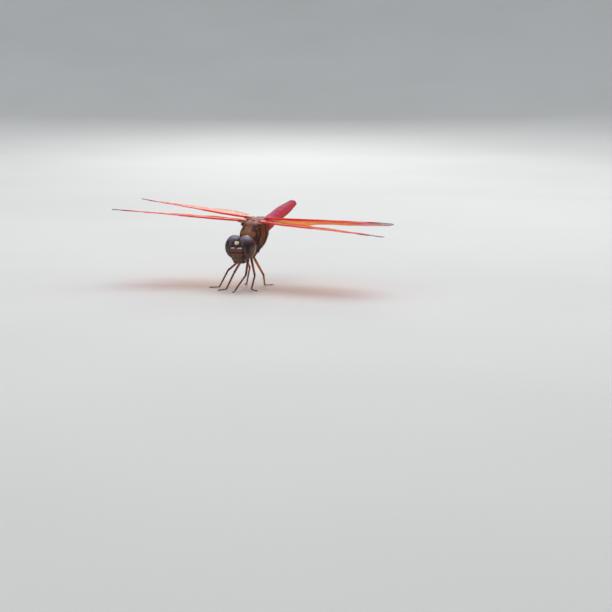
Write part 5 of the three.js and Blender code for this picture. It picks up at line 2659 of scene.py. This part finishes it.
    def claws(self) -> Form:
        """The two hooked claws."""
        *_, ankle, toe = self.joints()
        ahead = unit((toe - ankle) * (1, 1, 0))
        form, across, t = Form(), np.cross(ahead, UP), parts(14)
        for sign in (1.0, -1.0):
            path = toe + np.outer(0.3 * t - 0.06, ahead) + np.outer(0.04 + 0.16 * t, across * sign)
            path[:, 2] = toe[2] + 0.05 * np.sin(t * np.pi) - (self.foot_radius - 0.022) * t**1.5
            form.sweep(path, lerp(0.05, 0.012, t), 8, spine=1.0)
        return form

    def build(self, finish: Material, horn: Material) -> None:
        """Builds the limb and its claws.

        Args:
            finish: The limb's finish.
            horn: The claws' finish.
        """
        name = f"{self.pair.name}leg_{self.side.label}"
        slot = Slot.LEG if self.pair.name == "hind" else Slot.FORELEG
        nodes = [f"{name}_{part}" for part in ("coxa", "femur", "tibia", "tarsus")]
        self.stance.piece(f"{name}_limb", self.limb(), slot, finish, *nodes)
        self.stance.piece(f"{name}_claws", self.claws(), slot, horn)


@dataclass
class Legs:
    """The six legs.

    Attributes:
        fore: The front pair.
        mid: The middle pair.
        hind: The rear pair.
    """

    fore: LegPair = LegPair("fore", (0.8, 3.1, -1.3), (0.5, 2.3, -2.54), 3.6, 3.5, 1.7, 9)
    mid: LegPair = LegPair("mid", (1.0, 4.0, -1.7), (0.68, 3.0, -2.8), 4.4, 4.0, 1.8, 10)
    hind: LegPair = LegPair("hind", (1.1, 5.0, -1.8), (0.85, 3.75, -3.0), 4.5, 4.2, 2.0, 11)

    def legs(self, stance: Stance) -> Iterator[Leg]:
        """Each leg as it stands.

        Args:
            stance: Where the animal stands.

        Yields:
            The legs, front pair first.
        """
        yield Leg(stance, self.fore, Side.LEFT, (-1.4, 0.6), (0.95, -0.3, -0.15), (0.2, -1.0))
        yield Leg(stance, self.fore, Side.RIGHT, (-3.8, 1.9), (0.05, -1.0, 0.1), (-0.6, -1.0))
        yield Leg(stance, self.mid, Side.LEFT, (0.8, 3.2), (0.6, -0.8, 0.0), (1.0, -0.7))
        yield Leg(stance, self.mid, Side.RIGHT, (-6.3, 4.2), (-0.7, -0.4, 0.6), (-1.0, -0.3))
        yield Leg(stance, self.hind, Side.LEFT, (0.6, 10.0), (0.8, -0.4, -0.4), (0.5, 1.0))
        yield Leg(stance, self.hind, Side.RIGHT, (-3.1, 9.7), (0.4, 0.75, 0.55), (-0.6, 1.0))

    def finish(self, name: str, colour: Colour, shade: Colour, light: Colour) -> Material:
        """The finish of a leg.

        Args:
            name: What to call it.
            colour: Its main colour.
            shade: The colour of its darker spots.
            light: The colour of the lighter stretch.

        Returns:
            The material.
        """
        markings = (
            Marking("light", light, ragged=0.6, scale=1.5, soft=0.8, cover=0.8),
            Marking("dark", (0.03, 0.009, 0.008), ragged=0.5, scale=3.0, soft=0.6),
            Marking("spine", (0.012, 0.006, 0.006), ragged=0.0, soft=0.4),
        )
        shell = {"rough": (0.28, 0.45), "grain": 9.0, "relief": 0.008, "gloss": 0.25, "glow": 0.08}
        return Cuticle(name, colour, shade, markings, **shell).material()

    def build(self, stance: Stance) -> None:
        """Builds all six.

        Args:
            stance: Where the animal stands.
        """
        dark = self.finish("Front legs", (0.13, 0.022, 0.014), (0.06, 0.010, 0.009), (0.34, 0.05, 0.02))
        pale = self.finish("Rear legs", (0.38, 0.11, 0.028), (0.24, 0.06, 0.018), (0.55, 0.17, 0.04))
        shine = {"rough": (0.2, 0.35), "relief": 0.002, "gloss": 0.4}
        horn = Cuticle("Claw", (0.02, 0.008, 0.007), (0.01, 0.005, 0.005), **shine).material()
        for leg in self.legs(stance):
            leg.build(pale if leg.pair is self.hind else dark, horn)


# ---- Studio ----


@dataclass(frozen=True)
class FloorFinish(Finish):
    """A pale, matt floor.

    Attributes:
        name: The finish's name.
        dark: Colour of its darker clouds.
        pale: Colour of the rest.
    """

    name: str = "Studio floor"
    dark: Colour = (0.55, 0.55, 0.54)
    pale: Colour = (0.58, 0.58, 0.57)

    def wire(self, graph: Graph) -> Node:
        """Wires the floor's nodes and returns its shader."""
        colour = graph.blend(graph.band(graph.noise(9.0, detail=2.0), 0.3, 0.7), self.dark, self.pale)
        return graph.node("BsdfPrincipled", {"Base Color": colour, "Roughness": 0.85})


@dataclass(frozen=True)
class Lamp:
    """A soft round lamp that faces the animal.

    Attributes:
        name: What to call it.
        at: Where it hangs, in the model's frame.
        size: How wide it is.
        power: Its watts.
        colour: Its colour.
        aim: What it faces, in the model's frame.
    """

    name: str
    at: Point
    size: float
    power: float
    colour: Colour
    aim: Point = (0.0, 0.0, 8.0)

    def hang(self) -> None:
        """Puts the lamp in the scene."""
        data = bpy.data.lights.new(self.name, "AREA")
        data.shape = "DISK"
        data.size, data.energy, data.color = self.size * MM, self.power, self.colour
        lamp = bpy.data.objects.new(self.name, data)
        lamp.location = Vector(self.at) * MM
        lamp.rotation_mode = "QUATERNION"
        lamp.rotation_quaternion = (Vector(self.aim) * MM - lamp.location).to_track_quat("-Z", "Y")
        bpy.context.collection.objects.link(lamp)


@dataclass
class Studio:
    """A pale floor that curves up all round, soft light and the camera.

    Attributes:
        azimuth: Degrees that the camera stands round from the front, toward the animal's left.
        elevation: Degrees that it stands above.
        distance: From the camera to the head, along its view.
        aside: How far right of the head the view is centred.
        below: How far below the head the view is centred.
        lens: The camera's focal length.
        sensor: The width of the camera's sensor.
        floor_rings: Radii of the rings of the flat floor.
        floor_radius: Where it starts to curve up.
        wall_height: How high it reaches.
        floor_sides: Corners in each ring.
        floor_gap: How far it lies under the feet, so that they don't flicker in it.
        lamps: The lamps.
        sky: The colour of the light from all round.
        sky_strength: How strong that light is.
    """

    azimuth: float = 22.0
    elevation: float = 8.0
    distance: float = 315.0
    aside: float = 12.155
    below: float = 10.877
    lens: float = 100.0
    sensor: float = 36.0
    floor_rings: tuple[float, ...] = (40.0, 200.0, 320.0)
    floor_radius: float = 430.0
    wall_height: float = 950.0
    floor_sides: int = 128
    floor_gap: float = 0.01
    lamps: tuple[Lamp, ...] = (
        Lamp("Sky light", (30.0, 110.0, 410.0), 420.0, 1.0, (1.0, 0.98, 0.96)),
        Lamp("Front light", (-220.0, -330.0, 190.0), 260.0, 0.3, (1.0, 0.97, 0.94)),
        Lamp("Rear light", (260.0, 320.0, 200.0), 240.0, 0.3, (0.95, 0.98, 1.0)),
        Lamp("Low rear light", (-190.0, 470.0, 215.0), 230.0, 0.6, (1.0, 0.99, 0.98)),
    )
    sky: Colour = (0.86, 0.90, 0.95)
    sky_strength: float = 0.85

    def camera(self, stance: Stance) -> None:
        """Places the camera.

        Args:
            stance: Where the animal stands.
        """
        a, e = math.radians(self.azimuth), math.radians(self.elevation)
        back = np.array((math.sin(a) * math.cos(e), -math.cos(a) * math.cos(e), math.sin(e)))
        right = unit(np.cross(-back, UP))
        up = np.cross(right, -back)
        data = bpy.data.cameras.new("Camera")
        data.lens = self.lens
        data.sensor_width = self.sensor
        data.clip_start, data.clip_end = 0.01, 10.0
        camera = bpy.data.objects.new("Camera", data)
        camera.location = (stance.head + back * self.distance + right * self.aside - up * self.below) * MM
        camera.rotation_mode = "QUATERNION"
        camera.rotation_quaternion = Vector(-back).to_track_quat("-Z", "Y")
        bpy.context.collection.objects.link(camera)
        bpy.context.scene.camera = camera

    def floor(self) -> None:
        """Builds the floor: flat rings, then the wall that curves up from them."""
        curve, sides = np.linspace(0.0, math.pi / 2, 24), self.floor_sides
        radii = np.append(self.floor_rings, self.floor_radius + self.wall_height * np.sin(curve))
        heights = np.append(np.zeros(len(self.floor_rings)), self.wall_height * (1 - np.cos(curve)))
        k = np.arange(sides)
        angle = k * 2.0 * np.pi / sides
        x, y = np.outer(radii, np.cos(angle)).ravel(), np.outer(radii, np.sin(angle)).ravel()
        corners = np.append(np.stack([x, y, np.repeat(heights, sides)], axis=1), [[0.0, 0.0, 0.0]], axis=0)
        middle = np.stack([np.full(sides, len(x)), k, (k + 1) % sides], axis=1)
        form = Form.of(corners, tube_quads(len(radii), sides), middle)
        floor = placed("studio_floor", form.mesh("studio_floor"), FloorFinish().material())
        floor.location.z = -self.floor_gap * MM
        floor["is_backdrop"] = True

    def build(self, stance: Stance) -> None:
        """Builds the floor, the light and the camera.

        Args:
            stance: Where the animal stands.
        """
        self.floor()
        for lamp in self.lamps:
            lamp.hang()
        world = bpy.data.worlds.new("World")
        world.use_nodes = True
        inputs = world.node_tree.nodes["Background"].inputs
        inputs["Color"].default_value = (*self.sky, 1.0)
        inputs["Strength"].default_value = self.sky_strength
        bpy.context.scene.world = world
        bpy.context.scene.view_settings.view_transform = "Standard"
        self.camera(stance)


def main() -> None:
    """Builds the animal part by part, then the studio round it."""
    logging.basicConfig(level=logging.INFO, format="%(name)s: %(message)s")
    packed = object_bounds()
    stance = Stance.of_frame()
    eyes = Eyes()
    eyes.build(stance)
    Head(eyes).build(stance)
    Thorax().build(stance)
    Abdomen().build(stance)
    Wings().build(stance)
    Legs().build(stance)
    Studio().build(stance)
    bpy.context.view_layer.update()
    boxes = {"cad": packed, "visual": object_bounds()}
    {name: [list(corner) for corner in box] for name, box in boxes.items()}


if __name__ == "__main__":
    main()
